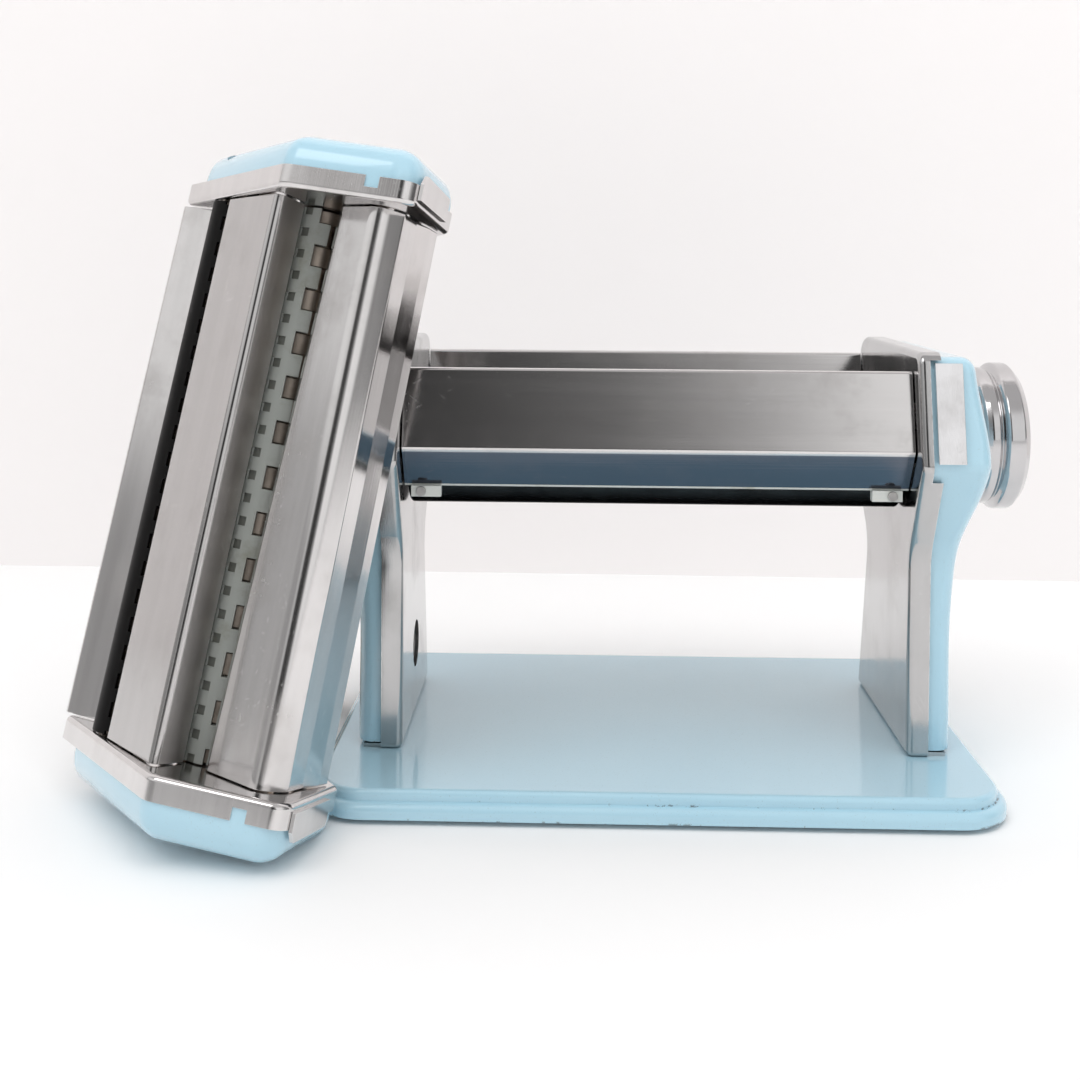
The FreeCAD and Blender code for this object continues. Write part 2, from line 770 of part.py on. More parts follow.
def clamp_bush():
    """Tube through the left leg, which takes the rod of a table clamp."""
    outer = clamp_radius + clamp_wall
    ring = turned([(half + plate, clamp_radius), (half + plate, outer),
                   (half + clamp_depth, outer), (half + clamp_depth, clamp_radius)],
                  0, clamp_height)
    return left_of(ring)


# ---- crank -----------------------------------------------------------------------------------------
def crank_pieces():
    """Crank in its own frame: arm along x, shaft along +z and grip along -z."""
    bar = crank_bar / 2
    arm = prism(rectangle(-crank_end, -crank_end, crank_throw + crank_end, crank_end,
                          crank_end - 0.01), -bar, bar)
    for side in (-1, 1):
        trim = [(12.0, side * crank_end * 1.2, 0), (20.0, side * crank_neck, 6.0),
                (crank_throw - 20.0, side * crank_neck, 6.0),
                (crank_throw - 12.0, side * crank_end * 1.2, 0)]
        arm = arm.cut(prism(trim if side < 0 else trim[::-1], -bar - 1, bar + 1))
    arm = arm.cut(rod(crank_shaft_radius + snug, 0, 0, -bar - 1, bar + 1))
    arm = arm.cut(rod(grip_pin_radius - 0.5 + snug, crank_throw, 0, -bar - 1, bar + 1))
    shaft = rod(crank_shaft_radius, 0, 0, -bar - 0.8, bar + crank_shaft_length)
    collar = rod(crank_shaft_radius + 2.2, 0, 0, bar, bar + 5.0)
    head = rod(crank_shaft_radius + 1.8, 0, 0, -bar - 1.8, -bar)
    pin_height = bar + crank_shaft_length - crank_shoulder
    hole = Part.makeCylinder(cross_pin, 4 * crank_shaft_radius,
                             Vec(-2 * crank_shaft_radius, 0, pin_height), Vec(1, 0, 0))
    shaft = shaft.fuse([collar, head]).cut(hole)
    shaft = shaft.makeFillet(0.8, edges_at_height(shaft, bar + crank_shaft_length))
    cross = Part.makeCylinder(cross_pin - snug, 2 * cross_pin_reach,
                              Vec(-cross_pin_reach, 0, pin_height), Vec(1, 0, 0))
    end = -bar - gap
    pin = rod(grip_pin_radius, crank_throw, 0, end - grip_length - 1.0, -bar)
    pin = pin.fuse([rod(grip_pin_radius - 0.5, crank_throw, 0, -bar - 0.5, bar + 1.2),
                    rod(grip_pin_radius + 1.5, crank_throw, 0, bar, bar + 1.4),
                    rod(grip_pin_radius + 2.6, crank_throw, 0, end - grip_length - 2.2,
                        end - grip_length - gap)])
    grip = grip_body()
    grip.translate(Vec(crank_throw, 0, end))
    return {"crank_arm": arm.removeSplitter(), "crank_shaft": shaft,
            "crank_cross_pin": cross, "grip_pin": pin.removeSplitter(), "crank_grip": grip}


def grip_body():
    """Barrel grip turned about z, hanging below z = 0."""
    bore = grip_pin_radius + running
    belly = -0.58 * grip_length
    neck = Vec(8.6, 0, -2.0)
    swell = Vec(grip_radius, 0, belly)
    foot = Vec(9.4, 0, -grip_length + 1.5)
    upper = Part.Arc(neck, Vec(10.6, 0, belly / 2), swell).toShape()
    lower = Part.Arc(swell, Vec(11.5, 0, 0.6 * belly - 0.4 * grip_length + 0.9), foot).toShape()
    corners = [foot, Vec(8.0, 0, -grip_length), Vec(bore, 0, -grip_length), Vec(bore, 0, 0),
               Vec(7.6, 0, 0), neck]
    edges = [upper, lower] + [Part.makeLine(a, b) for a, b in zip(corners, corners[1:])]
    return Part.Face(Part.Wire(edges)).revolve(Vec(0, 0, 0), Vec(0, 0, 1), 360)


def crank_placement():
    """Crank lying on the table: its arm end and its grip both touch the surface."""
    tilt = degrees(atan2(grip_radius - crank_end, crank_throw))
    # arm along -Y, shaft along -X and grip along +X
    lay = FreeCAD.Placement(FreeCAD.Matrix(0, 0, -1, 0, -1, 0, 0, 0, 0, 1, 0, 0, 0, 0, 0, 1))
    tip = FreeCAD.Placement(Vec(0, 0, 0), FreeCAD.Rotation(Vec(1, 0, 0), -tilt))
    spot = FreeCAD.Placement(Vec(crank_spot[0], crank_spot[1], crank_end + 0.05),
                             FreeCAD.Rotation())
    return spot.multiply(tip.multiply(lay))


# ---- cutter head -------------------------------------------------------------------------------------
def head_outline():
    return [(head_peak, head_ridge, 6.0), (head_right, head_ridge, 5.0), (*head_edge, 3.0),
            (*head_heel, 4.0), (*head_toe, 2.5)]


def beside(place_at, distance, slope):
    """Axis of the right cutter of a pair."""
    return (place_at[0] + distance * cos(radians(slope)),
            place_at[1] + distance * sin(radians(slope)))


def wide_right():
    return beside(wide_left, wide_radius + wide_core + core_play, wide_slope)


def narrow_right():
    return beside(narrow_left, narrow_radius + narrow_core + core_play, narrow_slope)


def cutter_axes():
    return (wide_left, wide_right(), narrow_left, narrow_right())


def head_end_plate(end):
    """Pressed end plate; end is 1 for the socket end and -1 for the other."""
    shell = pan(head_outline(), flange, head_plate, head_bend)
    shell = shell.cut(block(notch_at, notch_at + notch_width, head_ridge - 2,
                            head_ridge + 3, head_plate + 2.2, flange + 1))
    lean_x, lean_y = unit(head_edge[0] - head_right, head_edge[1] - head_ridge)
    hook = [(0, head_bend + 0.6, 0), (0, flange + 0.5, 0), (2.2, hook_width, 0.6),
            (hook_length, hook_width - 0.6, 1.2), (hook_length, head_bend + 0.6, 0)]
    strip = prism(hook, 0, head_plate)
    # strip plane: x along the side, y along the cutters, thickness outwards
    turn = FreeCAD.Matrix(lean_x, 0, lean_y, head_right + 0.3,
                          lean_y, 0, -lean_x, head_ridge + 3.5,
                          0, 1, 0, 0, 0, 0, 0, 1)
    shell = shell.fuse(place(strip, turn))
    for x, y in cutter_axes():
        shell = shell.cut(rod(bush_radius - 1.2, x, y, -1, head_plate + 1))
    for x, y in head_ties:
        shell = shell.cut(rod(head_tie_radius * 0.75 + snug, x, y, -1, head_plate + 1))
    shell.translate(Vec(0, 0, head_half))
    shell = shell.removeSplitter()
    return shell if end > 0 else shell.mirror(Vec(0, 0, 0), Vec(0, 0, 1))


def head_casing_shell(end):
    full = [(x, y, max(r, head_round + head_plate + gap + 1)) for x, y, r in head_outline()]
    outline = inset(full, head_plate + gap)
    low = head_half + head_plate + gap
    high = head_half + head_casing
    body = prism(outline, low, high)
    body = body.makeFillet(head_round, edges_at_height(body, high))
    hollow = prism(inset(outline, head_wall), low - 1, high - head_wall)
    hollow = hollow.makeFillet(head_round - head_wall, edges_at_height(hollow, high - head_wall))
    shell = body.cut(hollow)
    if end > 0:
        for x, y in (narrow_left, wide_right()):
            shell = shell.cut(rod(head_hub + 0.6, x, y, low, high + 1))
    return shell if end > 0 else shell.mirror(Vec(0, 0, 0), Vec(0, 0, 1))


def head_sheet(points):
    return bent_sheet(points, sheet, -head_half + gap, head_half - gap)


def head_front_lip():
    """Shallow folded lip under the narrow inlet."""
    return head_sheet([(-44.0, 9.9, 0), (-43.5, 8.9, 0.9), (-31.7, 7.0, 0.9),
                       (-30.9, 8.6, 0)][::-1])


def head_ridge_cover():
    """Roof between the two inlets."""
    return head_sheet([(-19.9, -11.6, 0), (-19.3, -13.0, 0.9), (2.2, -31.6, 1.2),
                       (5.9, -21.5, 0)][::-1])


def head_rear_cover():
    """Rounded guard beside the wide inlet, and the stepped wall on the machine side."""
    return head_sheet([(18.4, -24.6, 0), (19.8, -26.8, 1.2), (33.0, -33.8, 4.5),
                       (38.4, -28.4, 1.2), (39.8, -20.5, 1.0), (42.2, -13.5, 1.0),
                       (43.2, -8.6, 0)][::-1])


def ring_sector(centre, inner, outer, start, stop, low, high):
    """Part of a ring about z, between two angles in degrees, measured from +x to +y."""
    def spot(r, angle):
        return Vec(centre[0] + r * cos(radians(angle)), centre[1] + r * sin(radians(angle)), low)

    middle = (start + stop) / 2
    edges = [Part.Arc(spot(outer, start), spot(outer, middle), spot(outer, stop)).toShape(),
             Part.makeLine(spot(outer, stop), spot(inner, stop)),
             Part.Arc(spot(inner, stop), spot(inner, middle), spot(inner, start)).toShape(),
             Part.makeLine(spot(inner, start), spot(outer, start))]
    return Part.Face(Part.Wire(edges)).extrude(Vec(0, 0, high - low))


def ring_places(pitch, count):
    return [(k - (count - 1) / 2) * pitch for k in range(count)]


def comb(centre, radius, core, pitch, count, bar_angles, tooth_angles):
    """Stripper comb: a bar over the rings, and one tooth in each groove."""
    inner = radius + 0.45
    outer = inner + 1.1
    bar = ring_sector(centre, inner, outer, *bar_angles, -head_half + gap, head_half - gap)
    teeth = []
    for z in ring_places(pitch, count + 1):
        low = max(z - pitch / 4, -head_half + gap)
        high = min(z + pitch / 4, head_half - gap)
        if high - low > 0.5:
            teeth.append(ring_sector(centre, core + 0.4, outer, *tooth_angles, low, high))
    return bar.fuse(teeth).removeSplitter()


def cutter(centre, radius, core, pitch, count, journal_top):
    """Cutting roller: rings of one pitch on a core, with stub journals."""
    ring = pitch / 2 - ring_play
    end = head_half - gap
    profile = [(-end, 0), (-end, core)]
    for z in ring_places(pitch, count):
        profile += [(z - ring / 2, core), (z - ring / 2, radius),
                    (z + ring / 2, radius), (z + ring / 2, core)]
    profile += [(end, core), (end, 0)]
    points = [Vec(r, 0, z) for z, r in profile]
    body = Part.Face(Part.makePolygon(points + points[:1])).revolve(
        Vec(0, 0, 0), Vec(0, 0, 1), 360)
    stub = head_half + head_plate + 1.6
    body = body.fuse([rod(cutter_journal, 0, 0, end - 1, journal_top),
                      rod(cutter_journal, 0, 0, -stub, -end + 1)])
    body = body.removeSplitter()
    body.translate(Vec(centre[0], centre[1], 0))
    return body


def cutter_bushes():
    bushes = []
    hole = bush_radius - 1.2 - snug
    for x, y in cutter_axes():
        for end in (-1, 1):
            body = rod(hole, x, y, head_half - gap / 2 + 0.05, head_half + head_plate)
            lip = rod(bush_radius, x, y, head_half + head_plate, head_half + head_plate + 0.8)
            bush = body.fuse(lip).cut(rod(cutter_journal + running, x, y, 0, 100))
            bushes.append(bush if end > 0 else bush.mirror(Vec(0, 0, 0), Vec(0, 0, 1)))
    return Part.makeCompound(bushes)


def cutter_gear(centre, teeth, spacing, low, width, angle, drive):
    """Gear of one cutter; the driven one carries the socket for the crank."""
    wheel = gear(teeth, spacing / teeth, low, low + width, 0, 0.95, 1.2, 25.0, 0.2)
    wheel.rotate(Vec(0, 0, 0), Vec(0, 0, 1), angle)
    top = head_half + head_casing
    if drive:
        wheel = wheel.fuse([rod(head_hub - 1.4, 0, 0, low + width - 0.5, low + width + 1),
                            rod(head_hub, 0, 0, low + width + 0.5, top)])
        wheel = wheel.cut(rod(socket_radius, 0, 0, top - head_socket, top + 1))
        wheel = wheel.cut(block(-head_hub - 1, head_hub + 1, -socket_slot / 2, socket_slot / 2,
                                top - 2.5, top + 1))
    wheel = wheel.cut(rod(cutter_journal + snug, 0, 0, low - 1,
                          top - head_socket - 1 if drive else low + width + 1))
    wheel.translate(Vec(centre[0], centre[1], 0))
    return wheel.removeSplitter()


def pair_gears(left, right, teeth, low, width, drive_left):
    """Two equal gears in mesh: a tooth of one faces a valley of the other."""
    spacing = hypot(right[0] - left[0], right[1] - left[1])
    slope = degrees(atan2(right[1] - left[1], right[0] - left[0]))
    mate = slope + 180 + 180.0 / teeth
    return (cutter_gear(left, teeth, spacing, low, width, slope, drive_left),
            cutter_gear(right, teeth, spacing, low, width, mate, not drive_left))


def head_tie_rods():
    """Bars between the end plates, riveted flush; the one at the outlet rests on the machine."""
    rods = []
    for x, y in head_ties:
        bar = rod(head_tie_radius, x, y, -head_half, head_half)
        stub = rod(head_tie_radius * 0.75, x, y, -head_half - head_plate, head_half + head_plate)
        rods.append(bar.fuse(stub))
    return Part.makeCompound(rods)


def head_pieces():
    right_wide = wide_right()
    right_narrow = narrow_right()
    wide_gears = pair_gears(wide_left, right_wide, wide_teeth, wide_gear_at, wide_gear_width,
                            False)
    narrow_gears = pair_gears(narrow_left, right_narrow, narrow_teeth, narrow_gear_at,
                              narrow_gear_width, True)
    gear_top = {"wide": wide_gear_at + wide_gear_width, "narrow": narrow_gear_at + 2.5}
    drive_top = head_half + head_casing - head_socket - 1.2
    wide = (wide_radius, wide_core, wide_pitch)
    narrow = (narrow_radius, narrow_core, narrow_pitch)
    return {
        "cutter_top_plate": head_end_plate(1),
        "cutter_bottom_plate": head_end_plate(-1),
        "cutter_top_casing": head_casing_shell(1),
        "cutter_bottom_casing": head_casing_shell(-1),
        "cutter_front_lip": head_front_lip(),
        "cutter_ridge_cover": head_ridge_cover(),
        "cutter_rear_cover": head_rear_cover(),
        "cutter_tie_rods": head_tie_rods(),
        "cutter_bushes": cutter_bushes(),
        "wide_comb_left": comb(wide_left, *wide, wide_rings, (-104, -76), (-84, -54)),
        "wide_comb_right": comb(right_wide, *wide, wide_rings - 1, (-104, -80), (-134, -96)),
        "narrow_comb_left": comb(narrow_left, *narrow, narrow_rings, (-128, -98), (-106, -76)),
        "narrow_comb_right": comb(right_narrow, *narrow, narrow_rings - 1, (-92, -64),
                                  (-98, -74)),
        "wide_cutter_idler": cutter(wide_left, *wide, wide_rings, gear_top["wide"]),
        "wide_cutter_drive": cutter(right_wide, *wide, wide_rings - 1, drive_top),
        "narrow_cutter_drive": cutter(narrow_left, *narrow, narrow_rings, drive_top),
        "narrow_cutter_idler": cutter(right_narrow, *narrow, narrow_rings - 1,
                                      gear_top["narrow"]),
        "wide_idler_gear": wide_gears[0],
        "wide_drive_gear": wide_gears[1],
        "narrow_drive_gear": narrow_gears[0],
        "narrow_idler_gear": narrow_gears[1],
    }


def head_placement():
    return FreeCAD.Placement(Vec(*head_place), FreeCAD.Rotation(*head_turn))


# ---- all pieces ----------------------------------------------------------------------------------------
def machine_pieces():
    return {
        "base_plate": base_plate(),
        "base_pad": base_pad(),
        "leg_screws": leg_screws(),
        "left_side_plate": side_plate(True),
        "right_side_plate": side_plate(False),
        "left_casing": casing(True),
        "right_casing": casing(False),
        "left_rail": rail(True),
        "right_rail": rail(False),
        "front_cover": cover(-1),
        "rear_cover": cover(1),
        "tie_rods": tie_rods(),
        "front_scraper": scraper_bar(-1),
        "rear_scraper": scraper_bar(1),
        "scraper_screws": scraper_screws(),
        "front_bushes": front_bushes(),
        "front_roller": front_roller(),
        "rear_roller": rear_roller(),
        "front_roller_gear": roller_gear(front_axis, drive_journal, 0),
        "rear_roller_gear": roller_gear(rear_axis, journal, 0.5),
        "left_bearing_block": bearing_block(True),
        "right_bearing_block": bearing_block(False),
        "adjuster_shaft": adjuster_shaft(),
        "adjuster_bush": adjuster_bush(),
        "knob": knob(),
        "knob_cap": knob_cap(),
        "knob_nut": knob_nut(),
        "knob_spring": knob_spring(),
        "clamp_bush": clamp_bush(),
    }


def placed(pieces, placement):
    moved = {}
    for name, shape in pieces.items():
        copy = shape.copy()
        copy.Placement = placement.multiply(copy.Placement)
        moved[name] = copy
    return moved


def all_pieces():
    pieces = machine_pieces()
    pieces.update(placed(crank_pieces(), crank_placement()))
    pieces.update(placed(head_pieces(), head_placement()))
    return pieces


os.makedirs("parts", exist_ok=True)
for name, shape in all_pieces().items():
    bad = [s for s in shape.Solids if not s.isValid() or s.Volume <= 0]
    if bad or not shape.Solids:
        print("check", name, len(shape.Solids), [s.Volume for s in bad])
    shape.exportStep("parts/" + name + ".step")
print("pieces", len(os.listdir("parts")))
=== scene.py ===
"""Finished look of a hand cranked dough roller with its cutter head and crank.

Run as a script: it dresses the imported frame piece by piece, all in metres.
"""

import json
import math

import bmesh
import bpy
from mathutils import Euler, Matrix, Vector

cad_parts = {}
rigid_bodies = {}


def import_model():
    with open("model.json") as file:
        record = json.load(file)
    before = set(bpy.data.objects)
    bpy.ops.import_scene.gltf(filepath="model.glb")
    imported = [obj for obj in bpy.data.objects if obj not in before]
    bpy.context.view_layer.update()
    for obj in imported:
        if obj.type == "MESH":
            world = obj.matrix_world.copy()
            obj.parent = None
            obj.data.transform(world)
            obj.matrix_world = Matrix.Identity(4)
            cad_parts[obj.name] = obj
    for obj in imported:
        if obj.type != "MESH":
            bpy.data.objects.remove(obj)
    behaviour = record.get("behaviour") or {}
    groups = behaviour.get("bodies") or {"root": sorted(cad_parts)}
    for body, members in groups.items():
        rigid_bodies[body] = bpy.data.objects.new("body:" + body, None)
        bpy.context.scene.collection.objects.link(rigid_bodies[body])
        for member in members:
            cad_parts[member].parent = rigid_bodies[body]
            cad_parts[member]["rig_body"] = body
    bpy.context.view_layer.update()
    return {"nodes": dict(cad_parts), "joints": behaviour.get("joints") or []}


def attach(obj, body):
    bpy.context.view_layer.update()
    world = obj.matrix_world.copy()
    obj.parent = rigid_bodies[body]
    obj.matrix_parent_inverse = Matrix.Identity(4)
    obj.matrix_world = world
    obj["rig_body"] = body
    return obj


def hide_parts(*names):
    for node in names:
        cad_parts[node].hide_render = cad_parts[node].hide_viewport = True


bl_info = {
    "name": "Dough Roller Finish",
    "version": (1, 0, 0),
    "blender": (4, 5, 0),
    "location": "View3D > Sidebar > Dough Roller",
    "description": "Dresses the frame of a hand cranked dough roller with cutter head",
    "category": "Object",
}

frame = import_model()
JOINTS = {joint["name"]: joint for joint in frame["joints"]}
MM = 0.001
FRONT_FOLD = 0.1008       # height of the fold of the front cover
FRONT_LEAN = 0.09         # how much its lower strip leans back more than the bare sheet

# camera: place, heading, tilt, roll, focal length and lens shift
CAMERA_PLACE = (-0.02417, -0.43965, 0.16040)
CAMERA_TURN = (0.0247, -0.0239, -0.0072)
CAMERA_LENS = 45.03
CAMERA_SHIFT = (-0.0031, -0.2376)

FLOOR_HALF = 4.0          # half the side of the floor
FLOOR_DROP = 0.00002      # how far it lies below what stands on it
WALL_HALF = 1.5           # half the height of the wall
WALL_SPREAD = 2.5         # its width over its height
WALL_HEADING = -1.2       # degrees


# ---- settings ---------------------------------------------------------------------------
def length(name, description, default):
    return bpy.props.FloatProperty(name=name, description=description, default=default,
                                   min=0.0, soft_max=0.5, precision=5, unit="LENGTH")


def share(name, description, default):
    return bpy.props.FloatProperty(name=name, description=description, default=default,
                                   min=0.0, max=1.0, subtype="FACTOR")


def colour(name, description, default):
    return bpy.props.FloatVectorProperty(name=name, description=description, size=3,
                                         default=default, min=0.0, max=1.0, subtype="COLOR")


def power(name, description, default):
    return bpy.props.FloatProperty(name=name, description=description, default=default,
                                   min=0.0, unit="POWER")


class FinishSettings(bpy.types.PropertyGroup):
    sheet_colour: colour("Sheet steel", "Polished stainless sheet", (0.72, 0.70, 0.695))
    turned_colour: colour("Chrome", "Plated and turned pieces", (0.58, 0.57, 0.575))
    # near-black roller steel: painted shade of the rollers lying under the covers
    roller_painted_shade_tone: colour("Roller steel", "Near-black steel of rollers, painted shade", (0.055, 0.050, 0.049))
    ring_colour: colour("Cutter steel", "Hardened steel of the cutting rings",
                        (0.36, 0.31, 0.265))
    plain_colour: colour("Plain steel", "Gears, blocks, rods and screws", (0.50, 0.49, 0.48))
    enamel_colour: colour("Enamel", "Light blue enamel", (0.43, 0.66, 0.775))
    primer_colour: colour("Chips", "Bare metal where the enamel is chipped",
                          (0.07, 0.065, 0.06))
    plastic_colour: colour("Plastic", "Scrapers and bushes", (0.66, 0.68, 0.65))
    # wide combs: grey-green, darker than the scrapers' white plastic, as painted shade inside
    # the head
    comb_painted_shade_tone: colour("Comb plastic", "Combs of the wide cutters", (0.30, 0.315, 0.295))
    # pocket floors of the combs: painted shade in the recesses
    pocket_painted_shade_tone: colour("Pockets", "Pockets of the combs, painted shade", (0.13, 0.135, 0.12))
    # painted dark reflection on the front cover below its fold, standing in for the darker
    # reflection that the steel shows there
    painted_reflection_tone: colour("Shaded sheet", "Painted dark reflection below the front fold",
                         (0.13, 0.145, 0.176))
    rubber_colour: colour("Rubber", "Pad under the base", (0.018, 0.018, 0.019))
    wood_colour: colour("Beech", "Light colour of the grip", (0.62, 0.36, 0.17))
    grain_colour: colour("Grain", "Dark colour of the grip", (0.36, 0.17, 0.07))
    edge_round: length("Edge rounding", "Rounding of cut and moulded edges", 0.00018)
    enamel_round: length("Enamel rounding", "Rounding of enamelled edges", 0.0004)


class TurnedSettings(bpy.types.PropertyGroup):
    knob_start: length("Knob start", "Inner end of the knob from the middle", 0.1002)
    knob_length: length("Knob length", "Length of the knob", 0.0224)
    knob_radius: length("Knob radius", "Radius of the rim", 0.0245)
    ring_radius: length("Ring radius", "Radius of the ring next to the casing", 0.0216)
    hump_radius: length("Band radius", "Radius of the band between the grooves", 0.0229)
    cap_radius: length("Cap radius", "Radius of the cap in the face", 0.0095)
    neck_radius: length("Neck radius", "Bore of the knob's neck", 0.00505)
    neck_depth: length("Neck depth", "Thickness of the knob's neck", 0.0060)
    steps: bpy.props.IntProperty(name="Steps", description="Faces round a turned piece",
                                 default=128, min=24, max=256)


class StageSettings(bpy.types.PropertyGroup):
    floor_colour: colour("Floor", "Pale floor", (0.95, 0.95, 0.95))
    wall_colour: colour("Wall", "Pale wall behind the machine", (0.94, 0.91, 0.905))
    wall_place: length("Wall place", "Distance of the wall behind the origin", 0.229)
    sky: share("Sky", "Strength of the soft light from all sides", 0.755)
    key: power("Key lamp", "Power of the lamp above", 3.7)
    fill: power("Fill lamp", "Power of the lamp at the right", 0.7)
    soft: power("Soft lamp", "Power of the lamp at the left", 3.0)


def finish():
    return bpy.context.scene.dough_finish


def turning():
    return bpy.context.scene.dough_turned


def staging():
    return bpy.context.scene.dough_stage


# ---- node helpers -----------------------------------------------------------------------
def feed(tree, node, values):
    """Values or links for a node's inputs."""
    for key, value in values.items():
        if isinstance(value, bpy.types.NodeSocket):
            tree.links.new(value, node.inputs[key])
        else:
            node.inputs[key].default_value = value
    return node


def add(tree, kind, values=None, **settings):
    """New node with its settings, and with values or links for its inputs."""
    node = tree.nodes.new(kind)
    for key, value in settings.items():
        setattr(node, key, value)
    return feed(tree, node, values or {})


def maths(tree, operation, a, b=0.0, clamp=False):
    node = add(tree, "ShaderNodeMath", {0: a, 1: b}, operation=operation, use_clamp=clamp)
    return node.outputs[0]


def blend_colour(tree, factor, a, b, blend_type="MIX"):
    node = add(tree, "ShaderNodeMix", data_type="RGBA", blend_type=blend_type)
    sockets = [s for s in node.inputs if s.enabled]
    for socket, value in zip(sockets, (factor, a, b)):
        if isinstance(value, bpy.types.NodeSocket):
            tree.links.new(value, socket)
        elif socket.type == "RGBA":
            socket.default_value = (*value[:3], 1.0)
        else:
            socket.default_value = value
    return next(s for s in node.outputs if s.enabled)


def ramp(tree, value, low, high, start=0.0, end=1.0):
    """Value from low..high spread smoothly to start..end."""
    node = add(tree, "ShaderNodeMapRange",
               {"Value": value, "From Min": low, "From Max": high, "To Min": start,
                "To Max": end}, interpolation_type="SMOOTHSTEP")
    return node.outputs[0]


def noise(tree, vector, scale, detail=3.0, rough=0.55):
    node = add(tree, "ShaderNodeTexNoise", {"Vector": vector, "Scale": scale,
                                            "Detail": detail, "Roughness": rough})
    return node.outputs["Fac"]


def stretched(tree, vector, scale):
    node = add(tree, "ShaderNodeVectorMath", {0: vector, 1: scale}, operation="MULTIPLY")
    return node.outputs[0]


def new_group(name, inputs, outputs):
    """Empty node group with float or vector sockets: inputs are (name, kind, default)."""
    tree = bpy.data.node_groups.new(name, "ShaderNodeTree")
    for socket_name, kind, default in inputs:
        socket = tree.interface.new_socket(socket_name, in_out="INPUT", socket_type=kind)
        if default is not None:
            socket.default_value = default
    for socket_name, kind in outputs:
        tree.interface.new_socket(socket_name, in_out="OUTPUT", socket_type=kind)
    return tree, tree.nodes.new("NodeGroupInput"), tree.nodes.new("NodeGroupOutput")


FLOAT = "NodeSocketFloat"
VECTOR = "NodeSocketVector"


def rolled_streaks():
    """Soft streaks along x of the incoming vector, as rolled and polished sheet has."""
    tree = bpy.data.node_groups.get("Rolled_Streaks")
    if tree:
        return tree
    tree, source, result = new_group(
        "Rolled_Streaks", [("Vector", VECTOR, None), ("Fineness", FLOAT, 1.0)],
        [("Streak", FLOAT), ("Hairline", FLOAT)])
    vector = source.outputs["Vector"]
    broad = noise(tree, stretched(tree, vector, (6.0, 170.0, 170.0)), 1.0, 4.0, 0.6)
    fine = noise(tree, stretched(tree, vector, (14.0, 2600.0, 2600.0)),
                 source.outputs["Fineness"], 2.0, 0.5)
    tree.links.new(ramp(tree, broad, 0.3, 0.7), result.inputs["Streak"])
    tree.links.new(ramp(tree, fine, 0.35, 0.65), result.inputs["Hairline"])
    return tree


def handling_marks():
    """Smudges left by hands, and sparse fine scratches."""
    tree = bpy.data.node_groups.get("Handling_Marks")
    if tree:
        return tree
    tree, source, result = new_group(
        "Handling_Marks", [("Vector", VECTOR, None), ("Size", FLOAT, 1.0)],
        [("Smudge", FLOAT), ("Scratch", FLOAT)])
    vector = source.outputs["Vector"]
    size = source.outputs["Size"]
    cloudy = noise(tree, vector, maths(tree, "MULTIPLY", size, 38.0), 5.0, 0.62)
    tree.links.new(ramp(tree, cloudy, 0.46, 0.72), result.inputs["Smudge"])
    masks = []
    for turn, spread in (((0.3, 0.5, 0.2), (40.0, 900.0, 900.0)),
                         ((0.9, -0.4, 1.1), (900.0, 55.0, 900.0)),
                         ((-0.7, 0.2, 0.6), (900.0, 900.0, 48.0))):
        turned_vector = add(tree, "ShaderNodeMapping", {"Vector": vector, "Rotation": turn})
        line = noise(tree, stretched(tree, turned_vector.outputs[0], spread), 1.0, 1.0, 0.4)
        masks.append(ramp(tree, line, 0.705, 0.76))
    lines = maths(tree, "MAXIMUM", maths(tree, "MAXIMUM", masks[0], masks[1]), masks[2])
    patches = ramp(tree, noise(tree, vector, 22.0, 2.0), 0.5, 0.62)
    tree.links.new(maths(tree, "MULTIPLY", lines, patches), result.inputs["Scratch"])
    return tree


def edge_wear():
    """Mask of the outer edges, broken up as by knocks."""
    tree = bpy.data.node_groups.get("Edge_Wear")
    if tree:
        return tree
    tree, source, result = new_group(
        "Edge_Wear", [("Vector", VECTOR, None), ("Radius", FLOAT, 0.0008),
                      ("Grain", FLOAT, 420.0), ("Rarity", FLOAT, 0.6)], [("Mask", FLOAT)])
    rounded = add(tree, "ShaderNodeBevel", {"Radius": source.outputs["Radius"]}, samples=6)
    plain = add(tree, "ShaderNodeNewGeometry")
    facing = add(tree, "ShaderNodeVectorMath",
                 {0: rounded.outputs[0], 1: plain.outputs["Normal"]}, operation="DOT_PRODUCT")
    edge = ramp(tree, facing.outputs["Value"], 0.995, 0.93)
    broken = noise(tree, source.outputs["Vector"], source.outputs["Grain"], 3.0, 0.6)
    place = noise(tree, source.outputs["Vector"], 60.0, 2.0, 0.5)
    mix = maths(tree, "ADD", maths(tree, "MULTIPLY", broken, 0.55),
                maths(tree, "MULTIPLY", place, 0.45))
    above = maths(tree, "SUBTRACT", mix, source.outputs["Rarity"])
    chips = ramp(tree, above, 0.0, 0.03)
    tree.links.new(maths(tree, "MULTIPLY", edge, chips), result.inputs["Mask"])
    return tree


def object_vector(tree, place=None):
    """Object coordinates, turned into a piece's own directions when place is given."""
    vector = add(tree, "ShaderNodeTexCoord").outputs["Object"]
    if place is None:
        return vector
    mapping = add(tree, "ShaderNodeMapping",
                  {"Vector": vector, "Location": place.translation,
                   "Rotation": place.to_euler()}, vector_type="TEXTURE")
    return mapping.outputs[0]


def new_material(name):
    """Material with an empty node tree but for the shader and its output."""
    material = bpy.data.materials.new("finish_" + name)
    material.use_nodes = True
    tree = material.node_tree
    tree.nodes.clear()
    output = tree.nodes.new("ShaderNodeOutputMaterial")
    shader = tree.nodes.new("ShaderNodeBsdfPrincipled")
    tree.links.new(shader.outputs[0], output.inputs["Surface"])
    return material, tree, shader


def bump(tree, height, distance, strength=1.0, normal=None):
    values = {"Height": height, "Distance": distance, "Strength": strength}
    if normal is not None:
        values["Normal"] = normal
    return add(tree, "ShaderNodeBump", values).outputs[0]


def place_group(tree, group, values):
    return add(tree, "ShaderNodeGroup", values, node_tree=group)


